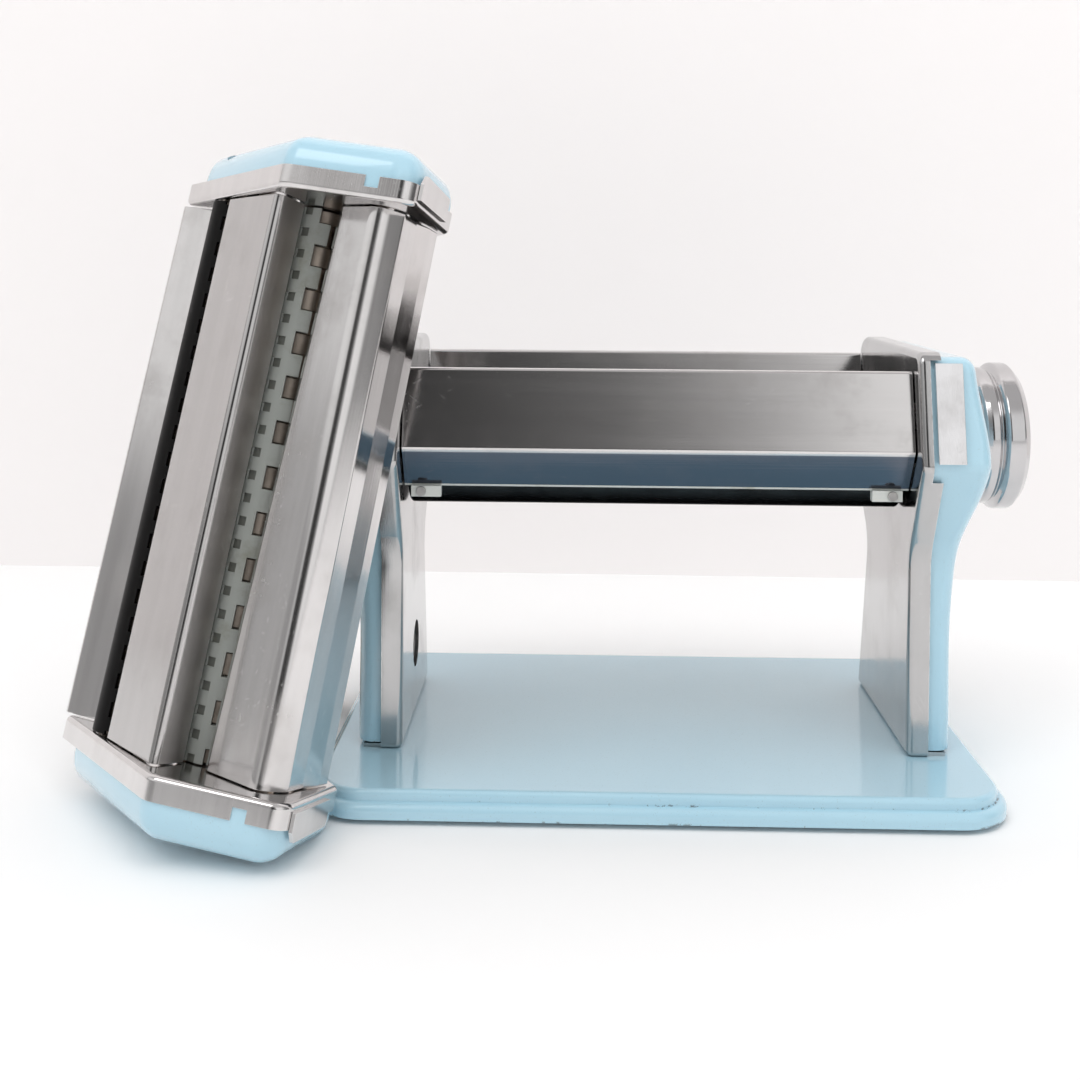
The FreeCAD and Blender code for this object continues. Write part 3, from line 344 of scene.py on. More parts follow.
def marked(tree, vector, size=1.0):
    """Smudges and scratches of the handling marks."""
    marks = place_group(tree, handling_marks(), {"Vector": vector, "Size": size})
    return marks.outputs["Smudge"], marks.outputs["Scratch"]


def worn(tree, vector, radius, rarity, grain=420.0):
    """Mask of the worn edges."""
    values = {"Vector": vector, "Radius": radius, "Rarity": rarity, "Grain": grain}
    return place_group(tree, edge_wear(), values).outputs["Mask"]


def mix_shaders(tree, factor, first, second):
    node = add(tree, "ShaderNodeMixShader", {0: factor})
    tree.links.new(first, node.inputs[1])
    tree.links.new(second, node.inputs[2])
    return node.outputs[0]


def tint(tree, tone, mask, amount, other):
    """Tone blended towards another by a share of a mask."""
    return blend_colour(tree, maths(tree, "MULTIPLY", mask, amount), tone, other)


def more(tree, value, mask, amount):
    """Value raised by a share of a mask."""
    return maths(tree, "ADD", maths(tree, "MULTIPLY", mask, amount), value)


def times(base, factor):
    return [c * factor for c in base]


# ---- materials --------------------------------------------------------------------------
def sheet_steel(name, place=None, base=None, fold=None, rough_low=0.115):
    """Polished sheet: streaks along the piece, a slight waviness, smudges and scratches.

    Below the height of a fold its colour turns dark: a painted dark reflection.
    """
    material, tree, shader = new_material(name)
    vector = object_vector(tree, place)
    streaks = place_group(tree, rolled_streaks(), {"Vector": vector})
    smudge, scratch = marked(tree, vector)
    wear = worn(tree, vector, 0.0005, 0.46)
    base = base or finish().sheet_colour
    tone = blend_colour(tree, streaks.outputs["Streak"], times(base, 0.93), base)
    tone = tint(tree, tone, smudge, 0.35, [c * f for c, f in zip(base, (0.66, 0.64, 0.62))])
    tone = tint(tree, tone, scratch, 0.16, (0.88, 0.87, 0.86))
    tone = tint(tree, tone, wear, 0.5, (0.85, 0.84, 0.83))
    # painted dark reflection below the fold
    if fold is not None:
        height = add(tree, "ShaderNodeSeparateXYZ", {"Vector": object_vector(tree)})
        below = ramp(tree, height.outputs["Z"], fold + 0.0002, fold - 0.0003)
        tone = blend_colour(tree, below, tone, finish().painted_reflection_tone)
    rough = more(tree, rough_low, streaks.outputs["Streak"], 0.03)
    rough = more(tree, more(tree, rough, smudge, 0.10), scratch, 0.10)
    wavy = noise(tree, stretched(tree, vector, (18.0, 60.0, 60.0)), 1.0, 2.0, 0.5)
    normal = bump(tree, wavy, 0.0012, 0.10)
    normal = bump(tree, streaks.outputs["Hairline"], 0.00002, 0.12, normal)
    feed(tree, shader, {"Base Color": tone, "Roughness": rough, "Metallic": 1.0,
                        "Normal": normal})
    return material


def along_axis(centre, axis):
    """Directions of a turned piece: x along its axis."""
    return Matrix.LocRotScale(Vector(centre), Vector(axis).to_track_quat("X", "Z"), None)


def turned_chrome(name, centre, axis):
    """Bright turned metal with fine rings round its axis."""
    material, tree, shader = new_material(name)
    vector = object_vector(tree, along_axis(centre, axis))
    parts = add(tree, "ShaderNodeSeparateXYZ", {"Vector": vector})
    across = add(tree, "ShaderNodeCombineXYZ", {"X": 0.0, "Y": parts.outputs["Y"],
                                                "Z": parts.outputs["Z"]})
    radius = add(tree, "ShaderNodeVectorMath", {0: across.outputs[0]}, operation="LENGTH")
    rings_at = add(tree, "ShaderNodeCombineXYZ", {"X": parts.outputs["X"],
                                                  "Y": radius.outputs["Value"]})
    rings = noise(tree, rings_at.outputs[0], 2600.0, 2.0, 0.5)
    smudge, scratch = marked(tree, vector, 1.4)
    base = finish().turned_colour
    tone = tint(tree, base, smudge, 0.3, times(base, 0.72))
    tone = tint(tree, tone, worn(tree, vector, 0.0006, 0.5), 0.4, (0.62, 0.60, 0.57))
    rough = more(tree, more(tree, 0.07, rings, 0.06), smudge, 0.10)
    feed(tree, shader, {"Base Color": tone, "Roughness": more(tree, rough, scratch, 0.15),
                        "Metallic": 1.0, "Normal": bump(tree, rings, 0.00001, 0.35)})
    return material


def ground_steel(name, base, centre, axis, rough_low=0.22, edge=1.0):
    """Steel ground round its axis, with a dull film and darker patches.

    The sheen at grazing angles is multiplied by edge.
    """
    material, tree, shader = new_material(name)
    vector = object_vector(tree, along_axis(centre, axis))
    rings = noise(tree, stretched(tree, vector, (3200.0, 40.0, 40.0)), 1.0, 2.0, 0.5)
    film = noise(tree, vector, 90.0, 5.0, 0.6)
    smudge, _ = marked(tree, vector, 2.0)
    tone = blend_colour(tree, ramp(tree, film, 0.35, 0.7), base, times(base, 0.62))
    tone = tint(tree, tone, rings, 0.25, times(base, 1.25))
    rough = more(tree, more(tree, rough_low, film, 0.2), smudge, 0.08)
    feed(tree, shader, {"Base Color": tone, "Specular Tint": (edge, edge, edge, 1.0),
                        "Roughness": rough, "Metallic": 1.0,
                        "Normal": bump(tree, rings, 0.00001, 0.4)})
    return material


def plain_steel(name):
    """Unpolished steel of gears, blocks, rods and screws."""
    material, tree, shader = new_material(name)
    vector = object_vector(tree)
    speckle = noise(tree, vector, 1400.0, 3.0, 0.6)
    cloudy = noise(tree, vector, 110.0, 4.0, 0.6)
    base = finish().plain_colour
    tone = blend_colour(tree, ramp(tree, cloudy, 0.35, 0.7), base, times(base, 0.7))
    tone = tint(tree, tone, speckle, 0.3, times(base, 0.6))
    tone = tint(tree, tone, worn(tree, vector, 0.0004, 0.42), 0.7, (0.74, 0.73, 0.72))
    feed(tree, shader, {"Base Color": tone, "Roughness": more(tree, 0.26, cloudy, 0.22),
                        "Metallic": 1.0, "Normal": bump(tree, speckle, 0.00003, 0.3)})
    return material


def blue_enamel(name):
    """Glossy enamel: faint orange peel, slight colour drift, dark chips at the edges."""
    material, tree, shader = new_material(name)
    vector = object_vector(tree)
    drift = noise(tree, vector, 14.0, 3.0, 0.5)
    peel = noise(tree, vector, 520.0, 2.0, 0.5)
    dust = noise(tree, vector, 2600.0, 1.0, 0.4)
    smudge, _ = marked(tree, vector, 0.8)
    chips = worn(tree, vector, 0.0011, 0.565, 520.0)
    base = finish().enamel_colour
    tone = blend_colour(tree, ramp(tree, drift, 0.3, 0.7), base,
                        [c * f for c, f in zip(base, (0.94, 0.97, 0.985))])
    tone = tint(tree, tone, smudge, 0.05, times(base, 0.86))
    tone = tint(tree, tone, ramp(tree, dust, 0.70, 0.74), 0.35, (0.30, 0.36, 0.38))
    tone = blend_colour(tree, chips, tone, finish().primer_colour)
    rough = more(tree, more(tree, 0.20, smudge, 0.05), chips, 0.4)
    height = maths(tree, "SUBTRACT", maths(tree, "MULTIPLY", peel, 0.25), chips)
    feed(tree, shader, {"Base Color": tone, "Roughness": rough, "Coat Weight": 0.85,
                        "Coat Roughness": 0.04, "Normal": bump(tree, height, 0.00006, 0.35)})
    return material


def moulded_plastic(name, base, shine=0.5):
    """Natural white plastic with a faint mould texture and a few dark traces."""
    material, tree, shader = new_material(name)
    vector = object_vector(tree)
    grain = noise(tree, vector, 900.0, 3.0, 0.6)
    stains = noise(tree, vector, 75.0, 5.0, 0.65)
    tone = blend_colour(tree, ramp(tree, stains, 0.5, 0.78), base,
                        [c * f for c, f in zip(base, (0.72, 0.70, 0.62))])
    feed(tree, shader, {"Base Color": tone, "Roughness": more(tree, 0.38, grain, 0.15),
                        "Specular IOR Level": shine, "Subsurface Weight": 0.08,
                        "Subsurface Radius": (0.002, 0.002, 0.0015),
                        "Normal": bump(tree, grain, 0.00004, 0.3)})
    return material


def black_rubber(name):
    """Matt rubber with a fine moulded grain and a little dust."""
    material, tree, shader = new_material(name)
    vector = object_vector(tree)
    grain = noise(tree, vector, 1100.0, 3.0, 0.6)
    dust = noise(tree, vector, 60.0, 5.0, 0.65)
    base = finish().rubber_colour
    tone = blend_colour(tree, ramp(tree, dust, 0.5, 0.8, 0.0, 0.35), base,
                        (0.12, 0.115, 0.11))
    feed(tree, shader, {"Base Color": tone, "Roughness": more(tree, 0.62, grain, 0.2),
                        "Normal": bump(tree, grain, 0.00006, 0.5)})
    return material


def beech_wood(name, centre, axis):
    """Oiled beech: long grain, short dark flecks and a satin surface."""
    material, tree, shader = new_material(name)
    vector = object_vector(tree, along_axis(centre, axis))
    bent = noise(tree, stretched(tree, vector, (30.0, 90.0, 90.0)), 1.0, 3.0, 0.5)
    long_grain = noise(tree, stretched(tree, vector, (26.0, 520.0, 300.0)), 1.0, 4.0, 0.6)
    flecks = noise(tree, stretched(tree, vector, (330.0, 2600.0, 2600.0)), 1.0, 1.0, 0.5)
    tone = blend_colour(tree, ramp(tree, long_grain, 0.32, 0.68), finish().wood_colour,
                        [0.5 * (a + b) for a, b in zip(finish().wood_colour,
                                                       finish().grain_colour)])
    tone = blend_colour(tree, ramp(tree, bent, 0.4, 0.75, 0.0, 0.5), tone,
                        finish().grain_colour)
    tone = blend_colour(tree, ramp(tree, flecks, 0.66, 0.72, 0.0, 0.7), tone,
                        finish().grain_colour)
    height = more(tree, long_grain, flecks, -0.6)
    feed(tree, shader, {"Base Color": tone, "Roughness": more(tree, 0.34, long_grain, 0.2),
                        "Normal": bump(tree, height, 0.00006, 0.4)})
    return material


def joint_line(name):
    """Point and direction of a joint's axis."""
    joint = JOINTS[name]
    return Vector(joint["pos_m"]), Vector(joint["axis"]).normalized()


def roller_steel(name, joint):
    """Near-black steel of a smooth roller with a weak sheen at grazing angles, both painted
    shade of the roller under the covers.
    """
    return ground_steel(name, finish().roller_painted_shade_tone, *joint_line(joint), edge=0.15)


HEAD_SLOPE = -16.9        # degrees from the head's own x to the line between the wide cutters


def head_place():
    """Frame of the cutter head: x along the cutters, for streaks that follow the sheets."""
    start, along = joint_line("wide_idler_turn")
    other, _ = joint_line("wide_drive_turn")
    side = Matrix.Rotation(math.radians(-HEAD_SLOPE), 3, along) @ (other - start).normalized()
    turn = Matrix((along, side, along.cross(side))).transposed()
    return Matrix.LocRotScale(start, turn.to_quaternion(), None)


UPRIGHT = Matrix.Rotation(math.radians(-90), 4, "Y")

MAKERS = {
    "sheet_steel": sheet_steel,
    "head_sheet_steel": lambda name: sheet_steel(name, head_place()),
    "plate_sheet_steel": lambda name: sheet_steel(name, UPRIGHT, (0.53, 0.525, 0.525)),
    # rails: sheet brighter than the rest, a painted highlight
    "rail_sheet_steel": lambda name: sheet_steel(name, UPRIGHT, (0.86, 0.85, 0.86)),
    # darker copies of the head sheet for the ridge cover: painted shade
    "head_shade_steel": lambda name: sheet_steel(name, head_place(), (0.66, 0.65, 0.64),
                                                 rough_low=0.34),
    "ridge_sheet_steel": lambda name: sheet_steel(name, head_place(), (0.54, 0.525, 0.52)),
    # front cover: sheet with the painted dark reflection below its fold
    "cover_sheet_steel": lambda name: sheet_steel(name, fold=FRONT_FOLD),
    "plain_steel": plain_steel,
    "blue_enamel": blue_enamel,
    "black_rubber": black_rubber,
    "moulded_plastic": lambda name: moulded_plastic(name, finish().plastic_colour),
    "comb_plastic": lambda name: moulded_plastic(name, finish().comb_painted_shade_tone),
    "pocket_plastic": lambda name: moulded_plastic(name, finish().pocket_painted_shade_tone),
    # narrow combs: near-black plastic, painted shade of the narrow slot
    "dark_plastic": lambda name: moulded_plastic(name, (0.005, 0.0045, 0.0045), 0.12),
    "knob_chrome": lambda name: turned_chrome(name, *joint_line("thickness_turn")),
    "crank_chrome": lambda name: turned_chrome(name, *joint_line("grip_spin")),
    "grip_beech": lambda name: beech_wood(name, *joint_line("grip_spin")),
    "front_roller_steel": lambda name: roller_steel(name, "front_roller_turn"),
    "rear_roller_steel": lambda name: roller_steel(name, "rear_roller_turn"),
    "cutter_steel": lambda name: ground_steel(
        name, finish().ring_colour, *joint_line("wide_idler_turn"), 0.28),
}
MADE = {}


def material_for(name):
    """Finished material, made once; the frame's own plain materials are never taken."""
    if name not in MADE:
        MADE[name] = MAKERS[name](name)
    return MADE[name]


# ---- mesh helpers -----------------------------------------------------------------------
def linked(name, data):
    """Object in the scene; a bmesh becomes its mesh first."""
    if isinstance(data, bmesh.types.BMesh):
        bm, data = data, bpy.data.meshes.new(name)
        bm.to_mesh(data)
        bm.free()
    piece = bpy.data.objects.new(name, data)
    bpy.context.scene.collection.objects.link(piece)
    return piece


def finished(name, bm, node, material, smooth_angle=35.0):
    """Object from a bmesh with a finished material, that rides with a CAD node's body and
    replaces it, the node being hidden.
    """
    for face in bm.faces:
        face.smooth = True
    for edge in bm.edges:
        if edge.is_manifold:
            edge.smooth = edge.calc_face_angle(0.0) < math.radians(smooth_angle)
    piece = linked(name, bm)
    piece.data.materials.append(material_for(material))
    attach(piece, frame["nodes"][node]["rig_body"])
    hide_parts(node)
    return piece


def soften(piece, width, segments=2, angle=35.0):
    """Small rounding on the sharp edges, and flat faces kept flat in the shading."""
    bevel = piece.modifiers.new("rounded_edges", "BEVEL")
    bevel.width = width
    bevel.segments = segments
    bevel.limit_method = "ANGLE"
    bevel.angle_limit = math.radians(angle)
    bevel.harden_normals = True
    weights = piece.modifiers.new("flat_faces", "WEIGHTED_NORMAL")
    weights.keep_sharp = True
    return piece


def merged(node):
    """Bmesh of a CAD node with its loose triangles joined and its flat faces made whole."""
    bm = bmesh.new()
    source = frame["nodes"][node].data
    bm.from_mesh(source)
    for name in [layer.name for layer in bm.loops.layers.float_vector.values()]:
        bm.loops.layers.float_vector.remove(bm.loops.layers.float_vector[name])
    bmesh.ops.remove_doubles(bm, verts=bm.verts, dist=2e-6)
    bmesh.ops.dissolve_degenerate(bm, edges=bm.edges, dist=2e-6)
    bmesh.ops.dissolve_limit(bm, angle_limit=math.radians(0.6), verts=bm.verts,
                             edges=bm.edges)
    return bm


def dressed(node, name, material, width=None, segments=2):
    """Finished copy of a CAD node."""
    piece = finished(name, merged(node), node, material)
    return soften(piece, finish().edge_round if width is None else width, segments)


def spun(profile, centre, axis, steps):
    """Closed profile of (along, radius) turned full round an axis."""
    bm = bmesh.new()
    axis = axis.normalized()
    across = axis.orthogonal().normalized()
    verts = [bm.verts.new(centre + axis * a + across * r) for a, r in profile]
    edges = [bm.edges.new(pair) for pair in zip(verts, verts[1:] + verts[:1])]
    bmesh.ops.spin(bm, geom=verts + edges, cent=centre, axis=axis, angle=2 * math.pi,
                   steps=steps, use_merge=True)
    bmesh.ops.remove_doubles(bm, verts=bm.verts, dist=1e-6)
    bmesh.ops.dissolve_degenerate(bm, edges=bm.edges, dist=1e-7)
    bmesh.ops.recalc_face_normals(bm, faces=bm.faces)
    return bm


# ---- pieces of the cutter head, in its own frame: x to the machine, z along the cutters ----
HEAD = Matrix.LocRotScale(
    Vector((-0.1207, -0.0408, 0.09332)),
    Euler((math.radians(-12.73), math.radians(8.0), math.radians(-8.84)), "XYZ"), None)
HEAD_HALF = 0.0793        # from the middle to the inner face of an end plate
PLATE = 0.0013            # end plate and the gap to its casing
# the two pairs of cutters: radius of the rings and of the core, spacing, places of the axes
WIDE = {"radius": 0.0076, "core": 0.0062, "pitch": 0.0130,
        "left": Vector((0.0098, -0.0109)), "right": Vector((0.02324, -0.01498))}
NARROW = {"radius": 0.0055, "core": 0.0042, "pitch": 0.0080,
          "left": Vector((-0.0218, -0.0032)), "right": Vector((-0.01369, -0.00888))}
RING_PLAY = 0.00035       # between a ring and its mate's rings
RING_EDGE = 0.00025       # broken edges of the rings
CORE_PLAY = 0.0003        # from a cutter's core to the end plates
RING_INSET = 0.0002       # from its end rings to the ends of the core
SHORTEST_RING = 0.0015
JOURNAL = 0.003           # radius of a cutter's ends
JOURNAL_REACH = 0.0026    # how far the plain ends pass the inner face of the end plate
COMB_GAP = 0.00045        # from the rings to the comb
COMB_WALL = 0.0011
COMB_PLAY = 0.0004        # from the comb to the end plates, and from a finger to the core
FINGER_PLAY = 0.0001      # from a finger to the rings on each side
SHORTEST_FINGER = 0.0012
POCKET_DEPTH = 0.0006
POCKET_RIB = 0.60         # share of the spacing that the ribs between the pockets take
GUARD_BEND = 0.0215       # the guard's edge is free where x is less than this
GUARD_OPEN = 0.0042       # how far that edge stands out at the plain end
GUARD_DRAW = 0.0052       # how far it draws back from there to the socket end
GUARD_DROP = 0.0022       # how far it drops at the plain end
# corners of an end in mm, with the radius at each: peak, machine side above, below, heel, toe
HEAD_CORNERS = ((5.8, -41.4, 8.0), (44.0, -41.4, 9.0), (46.8, -6.7, 7.0), (41.5, 0.5, 7.0),
                (-47.2, 10.9, 6.5))
# a casing from its rim outwards, in mm: (how far in from the plate's outline, how far out)
CASING_RISE = ((0.5, 0.0), (0.5, 7.0), (0.9, 9.6), (1.8, 11.8), (3.2, 13.5), (5.2, 14.8),
               (8.0, 15.8), (12.0, 16.5), (18.0, 17.0))
CASING_WALL = 1.5
LEAST_RADIUS = 0.6        # of a corner that has shrunk
CASING_ARCS = 8.0         # inset up to which the rounded corners shrink by themselves
CASING_SHRINK = 0.035     # share that a row shrinks for each mm beyond it
FLOOR_GAP = 0.0003        # between the casing that the head stands on and the floor
SOCKET_HOLE = 0.0060      # radius of the holes in the socket end's casing
HOLE_DEPTH = 0.03
HOLE_MIDDLE = 0.012       # middle of a hole beyond the inner face of the end plate


def rounded_outline(corners, inset, steps=8):
    """Points of a counter-clockwise outline with rounded corners, moved inwards."""
    points = []
    for i, (x, y, radius) in enumerate(corners):
        here = Vector((x, y))
        before = (here - Vector(corners[i - 1][:2])).normalized()
        after = (Vector(corners[(i + 1) % len(corners)][:2]) - here).normalized()
        turn = math.atan2(before.cross(after), before.dot(after))
        half = (math.pi - turn) / 2
        inwards = (before.orthogonal() + after.orthogonal()).normalized()
        corner = here + inwards * (inset / math.sin(half))
        round_here = max(radius - inset, LEAST_RADIUS)
        start = corner - before * (round_here / math.tan(half))
        centre = start + before.orthogonal() * round_here
        for k in range(steps + 1):
            points.append(centre + Matrix.Rotation(turn * k / steps, 2) @ (start - centre))
    return points


def shrunk(points, share_left):
    middle = sum(points, Vector((0, 0))) / len(points)
    return [middle + (p - middle) * share_left for p in points]


def casing_bmesh(end):
    """Domed shell over an end plate; end is 1 for the socket end and -1 for the other."""
    bm = bmesh.new()
    rows = []
    for side in (0, 1):
        rise = CASING_RISE if side == 0 else CASING_RISE[::-1]
        for inset, out in rise:
            deeper = min(inset, CASING_ARCS)
            outline = rounded_outline(HEAD_CORNERS, deeper + side * CASING_WALL)
            outline = shrunk(outline, 1.0 - (inset - deeper) * CASING_SHRINK)
            height = end * (HEAD_HALF + PLATE + max(out - side * CASING_WALL, 0.0) * MM)
            rows.append([bm.verts.new((p.x * MM, p.y * MM, height)) for p in outline])
    crowns = rows[len(CASING_RISE) - 1:len(CASING_RISE) + 1]
    for here, there in zip(rows, rows[1:] + rows[:1]):
        if here is not crowns[0]:
            for a, b, c, d in zip(here, here[1:] + here[:1], there[1:] + there[:1], there):
                bm.faces.new((a, b, c, d))
    for crown in crowns:
        bm.faces.new(crown)
    bm.transform(HEAD)
    for vert in bm.verts:
        if vert.co.z < FLOOR_GAP:
            vert.co += HEAD.col[2].xyz * ((FLOOR_GAP - vert.co.z) / HEAD[2][2])
    bmesh.ops.remove_doubles(bm, verts=bm.verts, dist=1e-6)
    bmesh.ops.recalc_face_normals(bm, faces=bm.faces)
    return bm


def holed(piece, places, radius):
    """Cut round holes along the cutters through a piece."""
    bm = bmesh.new()
    for place in places:
        spot = Matrix.Translation((place.x, place.y, HEAD_HALF + HOLE_MIDDLE))
        bmesh.ops.create_cone(bm, cap_ends=True, segments=48, radius1=radius, radius2=radius,
                              depth=HOLE_DEPTH, matrix=HEAD @ spot)
    plugs = linked("hole_plugs", bm)
    cut = piece.modifiers.new("holes", "BOOLEAN")
    cut.operation = "DIFFERENCE"
    cut.solver = "EXACT"
    cut.object = plugs
    ready = piece.evaluated_get(bpy.context.evaluated_depsgraph_get())
    made = bpy.data.meshes.new_from_object(ready)
    piece.modifiers.clear()
    piece.data = made
    bpy.data.meshes.remove(plugs.data)


def sector(bm, centre, inner, outer, start, stop, low, high, look=0, steps=6):
    """Closed part of a ring between two angles in degrees, in one of the piece's looks."""
    out = Vector((math.cos(math.radians(start)), math.sin(math.radians(start))))
    face = bm.faces.new([bm.verts.new((*(centre + out * r), z)) for r, z in (
        (inner, low), (outer, low), (outer, high), (inner, high))])
    face.material_index = look
    bmesh.ops.spin(bm, geom=[face], cent=(*centre, 0.0), axis=(0.0, 0.0, 1.0),
                   angle=math.radians(stop - start), steps=steps)


def ring_places(pitch, shifted):
    """Middles of the rings of one cutter; its mate's rings lie between them."""
    reach = int(HEAD_HALF / pitch) + 1
    places = [(k + (0.5 if shifted else 0.0)) * pitch for k in range(-reach, reach + 1)]
    return [z for z in places if abs(z) - pitch / 4 < HEAD_HALF - SHORTEST_FINGER]


def comb_bmesh(pair, side, bar, tips, pockets=()):
    """Stripper comb: a bar over the rings, fingers in the grooves and shallow pockets."""
    bm = bmesh.new()
    centre = pair[side]
    inner = pair["radius"] + COMB_GAP
    outer = inner + COMB_WALL
    end = HEAD_HALF - COMB_PLAY
    half = pair["pitch"] / 4 - FINGER_PLAY
    if pockets:
        sector(bm, centre, inner, outer, bar[0], pockets[0], -end, end)
        sector(bm, centre, inner, outer, pockets[1], bar[1], -end, end)
        turns = pockets[0] - 1, pockets[1] + 1
        # pocket floors take the second slot, which carries the painted shade
        sector(bm, centre, inner, outer - POCKET_DEPTH, *turns, -end, end, look=1)
        step = pair["pitch"] / 2
        reach = int(end / step) + 1
        rib = POCKET_RIB * step / 2
        for z in [k * step + step / 2 for k in range(-reach, reach)]:
            if abs(z) + rib < end:
                sector(bm, centre, inner + FINGER_PLAY, outer, *turns, z - rib, z + rib)
    else:
        sector(bm, centre, inner, outer, *bar, -end, end)
    for z in ring_places(pair["pitch"], side == "left"):
        low, high = max(z - half, -end), min(z + half, end)
        if high - low > SHORTEST_FINGER:
            sector(bm, centre, pair["core"] + COMB_PLAY, outer, *tips, low, high)
    bm.transform(HEAD)
    bmesh.ops.recalc_face_normals(bm, faces=bm.faces)
    return bm


def cutter_profile(pair, side, top):
    """Side view of a cutter: journals, core and rings with broken edges."""
    end = HEAD_HALF - CORE_PLAY
    last = end - RING_INSET
    bottom = -HEAD_HALF - JOURNAL_REACH
    half = pair["pitch"] / 4 - RING_PLAY / 2
    core, radius = pair["core"], pair["radius"]
    profile = [(bottom, 0.0), (bottom, JOURNAL), (-end, JOURNAL), (-end, core)]
    for z in ring_places(pair["pitch"], side == "right"):
        low, high = max(z - half, -last), min(z + half, last)
        if high - low > SHORTEST_RING:
            profile += [(low, core), (low, radius - RING_EDGE), (low + RING_EDGE, radius),
                        (high - RING_EDGE, radius), (high, radius - RING_EDGE), (high, core)]
    return profile + [(end, core), (end, JOURNAL), (top, JOURNAL), (top, 0.0)]


def head_axis(place):
    """Point and direction of a line along the cutters, in the frame."""
    return HEAD @ Vector((place.x, place.y, 0.0)), HEAD.to_3x3() @ Vector((0, 0, 1))


# ---- operators --------------------------------------------------------------------------
class DOUGH_OT_stage(bpy.types.Operator):
    """Floor, wall, soft lamps, world and camera"""
    bl_idname = "dough.stage"
    bl_label = "Stage"

    def execute(self, context):
        scene = context.scene
        scene.view_settings.view_transform = "Standard"
        make_floor()
        make_wall()
        make_world(scene)
        make_lamps()
        make_camera(scene)
        return {"FINISHED"}


def flat_mesh(name, size, matrix):
    """Flat square piece of the stage."""
    bm = bmesh.new()
    bmesh.ops.create_grid(bm, x_segments=1, y_segments=1, size=size, matrix=matrix)
    piece = linked(name, bm)
    return piece


def make_floor():
    floor = flat_mesh("floor", FLOOR_HALF, Matrix.Translation((0, 0, -FLOOR_DROP)))
    material, tree, shader = new_material("floor_paper")
    vector = object_vector(tree)
    cloudy = noise(tree, vector, 3.0, 3.0)
    base = staging().floor_colour
    tone = blend_colour(tree, cloudy, base, times(base, 0.99))
    feed(tree, shader, {"Base Color": tone, "Roughness": 0.75})
    floor.data.materials.append(material)


def make_wall():
    """Wall that shows and lights only from its front, so other views look through it."""
    turn = Matrix.Rotation(math.radians(90), 4, "X")
    lift = Matrix.Translation((0, staging().wall_place, WALL_HALF))
    heading = Matrix.Rotation(math.radians(WALL_HEADING), 4, "Z")
    wall = flat_mesh("wall", WALL_HALF, heading @ lift @ turn)
    wall.data.transform(Matrix.Diagonal((WALL_SPREAD, 1, 1, 1)))
    material, tree, shader = new_material("wall_paint")
    feed(tree, shader, {"Base Color": (*staging().wall_colour, 1.0), "Roughness": 0.9})
    back = add(tree, "ShaderNodeNewGeometry").outputs["Backfacing"]
    clear = add(tree, "ShaderNodeBsdfTransparent")
    output = next(n for n in tree.nodes if n.type == "OUTPUT_MATERIAL")
    tree.links.new(mix_shaders(tree, back, shader.outputs[0], clear.outputs[0]),
                   output.inputs["Surface"])
    wall.data.materials.append(material)


# brightness of the room round the stage, seen in the steel: (heading in degrees, grey);
# 0 is behind the camera and +90 its right; LOW up to eye height, HIGH above it
ROOM_LOW = ((-180, 0.56), (-100, 0.54), (-80, 0.46), (-62, 0.36), (-42, 0.34), (-28, 0.58),
            (-18, 0.05), (-6, 0.04), (3, 0.10), (10, 0.34), (16, 0.98), (45, 0.95),
            (62, 0.36), (78, 0.12), (96, 0.16), (106, 0.58), (180, 0.60))
ROOM_HIGH = ((-180, 0.60), (-105, 0.62), (-75, 0.90), (-50, 0.92), (-28, 0.75), (-18, 0.07),
             (-6, 0.05), (2, 0.16), (9, 0.50), (14, 1.0), (55, 0.95), (70, 0.30),
             (98, 0.30), (112, 0.60), (180, 0.60))


def tone_ramp(tree, turn, stops):
    """Grey that follows the heading round the room."""
    node = add(tree, "ShaderNodeValToRGB", {"Fac": turn})
    ramp_stops = node.color_ramp.elements
    while len(ramp_stops) > 1:
        ramp_stops.remove(ramp_stops[-1])
    ramp_stops[0].position = 0.0
    ramp_stops[0].color = (*[stops[0][1]] * 3, 1.0)
    for heading, grey in stops[1:]:
        stop = ramp_stops.new((heading + 180.0) / 360.0)
        stop.color = (grey, grey, grey, 1.0)
    return node.outputs["Color"]


def make_world(scene):
    """Even light, a white background, and a room with a darker side for the steel."""
    world = bpy.data.worlds.new("studio")
    scene.world = world
    world.use_nodes = True
    tree = world.node_tree
    tree.nodes.clear()
    light = add(tree, "ShaderNodeBackground", {"Color": (1, 1, 1, 1),
                                               "Strength": staging().sky})
    direction = add(tree, "ShaderNodeTexCoord").outputs["Generated"]
    parts = add(tree, "ShaderNodeSeparateXYZ", {"Vector": direction})
    seen = add(tree, "ShaderNodeBackground", {"Color": (*staging().wall_colour, 1.0),
                                              "Strength": 1.0})
    heading = maths(tree, "ARCTAN2", parts.outputs["X"],
                    maths(tree, "MULTIPLY", parts.outputs["Y"], -1.0))
    turn = maths(tree, "MULTIPLY_ADD", heading, 0.5 / math.pi)
    turn.node.inputs[2].default_value = 0.5
    low = tone_ramp(tree, turn, ROOM_LOW)
    high = tone_ramp(tree, turn, ROOM_HIGH)
    height = parts.outputs["Z"]
    tone = blend_colour(tree, ramp(tree, height, 0.20, 0.31), low, high)
    tone = blend_colour(tree, ramp(tree, height, 0.55, 0.75), tone, (0.62, 0.61, 0.61))
    room = add(tree, "ShaderNodeBackground", {"Color": tone, "Strength": 1.0})
    paths = add(tree, "ShaderNodeLightPath")
    straight = maths(tree, "MAXIMUM", paths.outputs["Is Camera Ray"],
                     paths.outputs["Is Transmission Ray"])
    first = mix_shaders(tree, straight, light.outputs[0], seen.outputs[0])
    mixed = mix_shaders(tree, paths.outputs["Is Glossy Ray"], first, room.outputs[0])
    add(tree, "ShaderNodeOutputWorld", {"Surface": mixed})


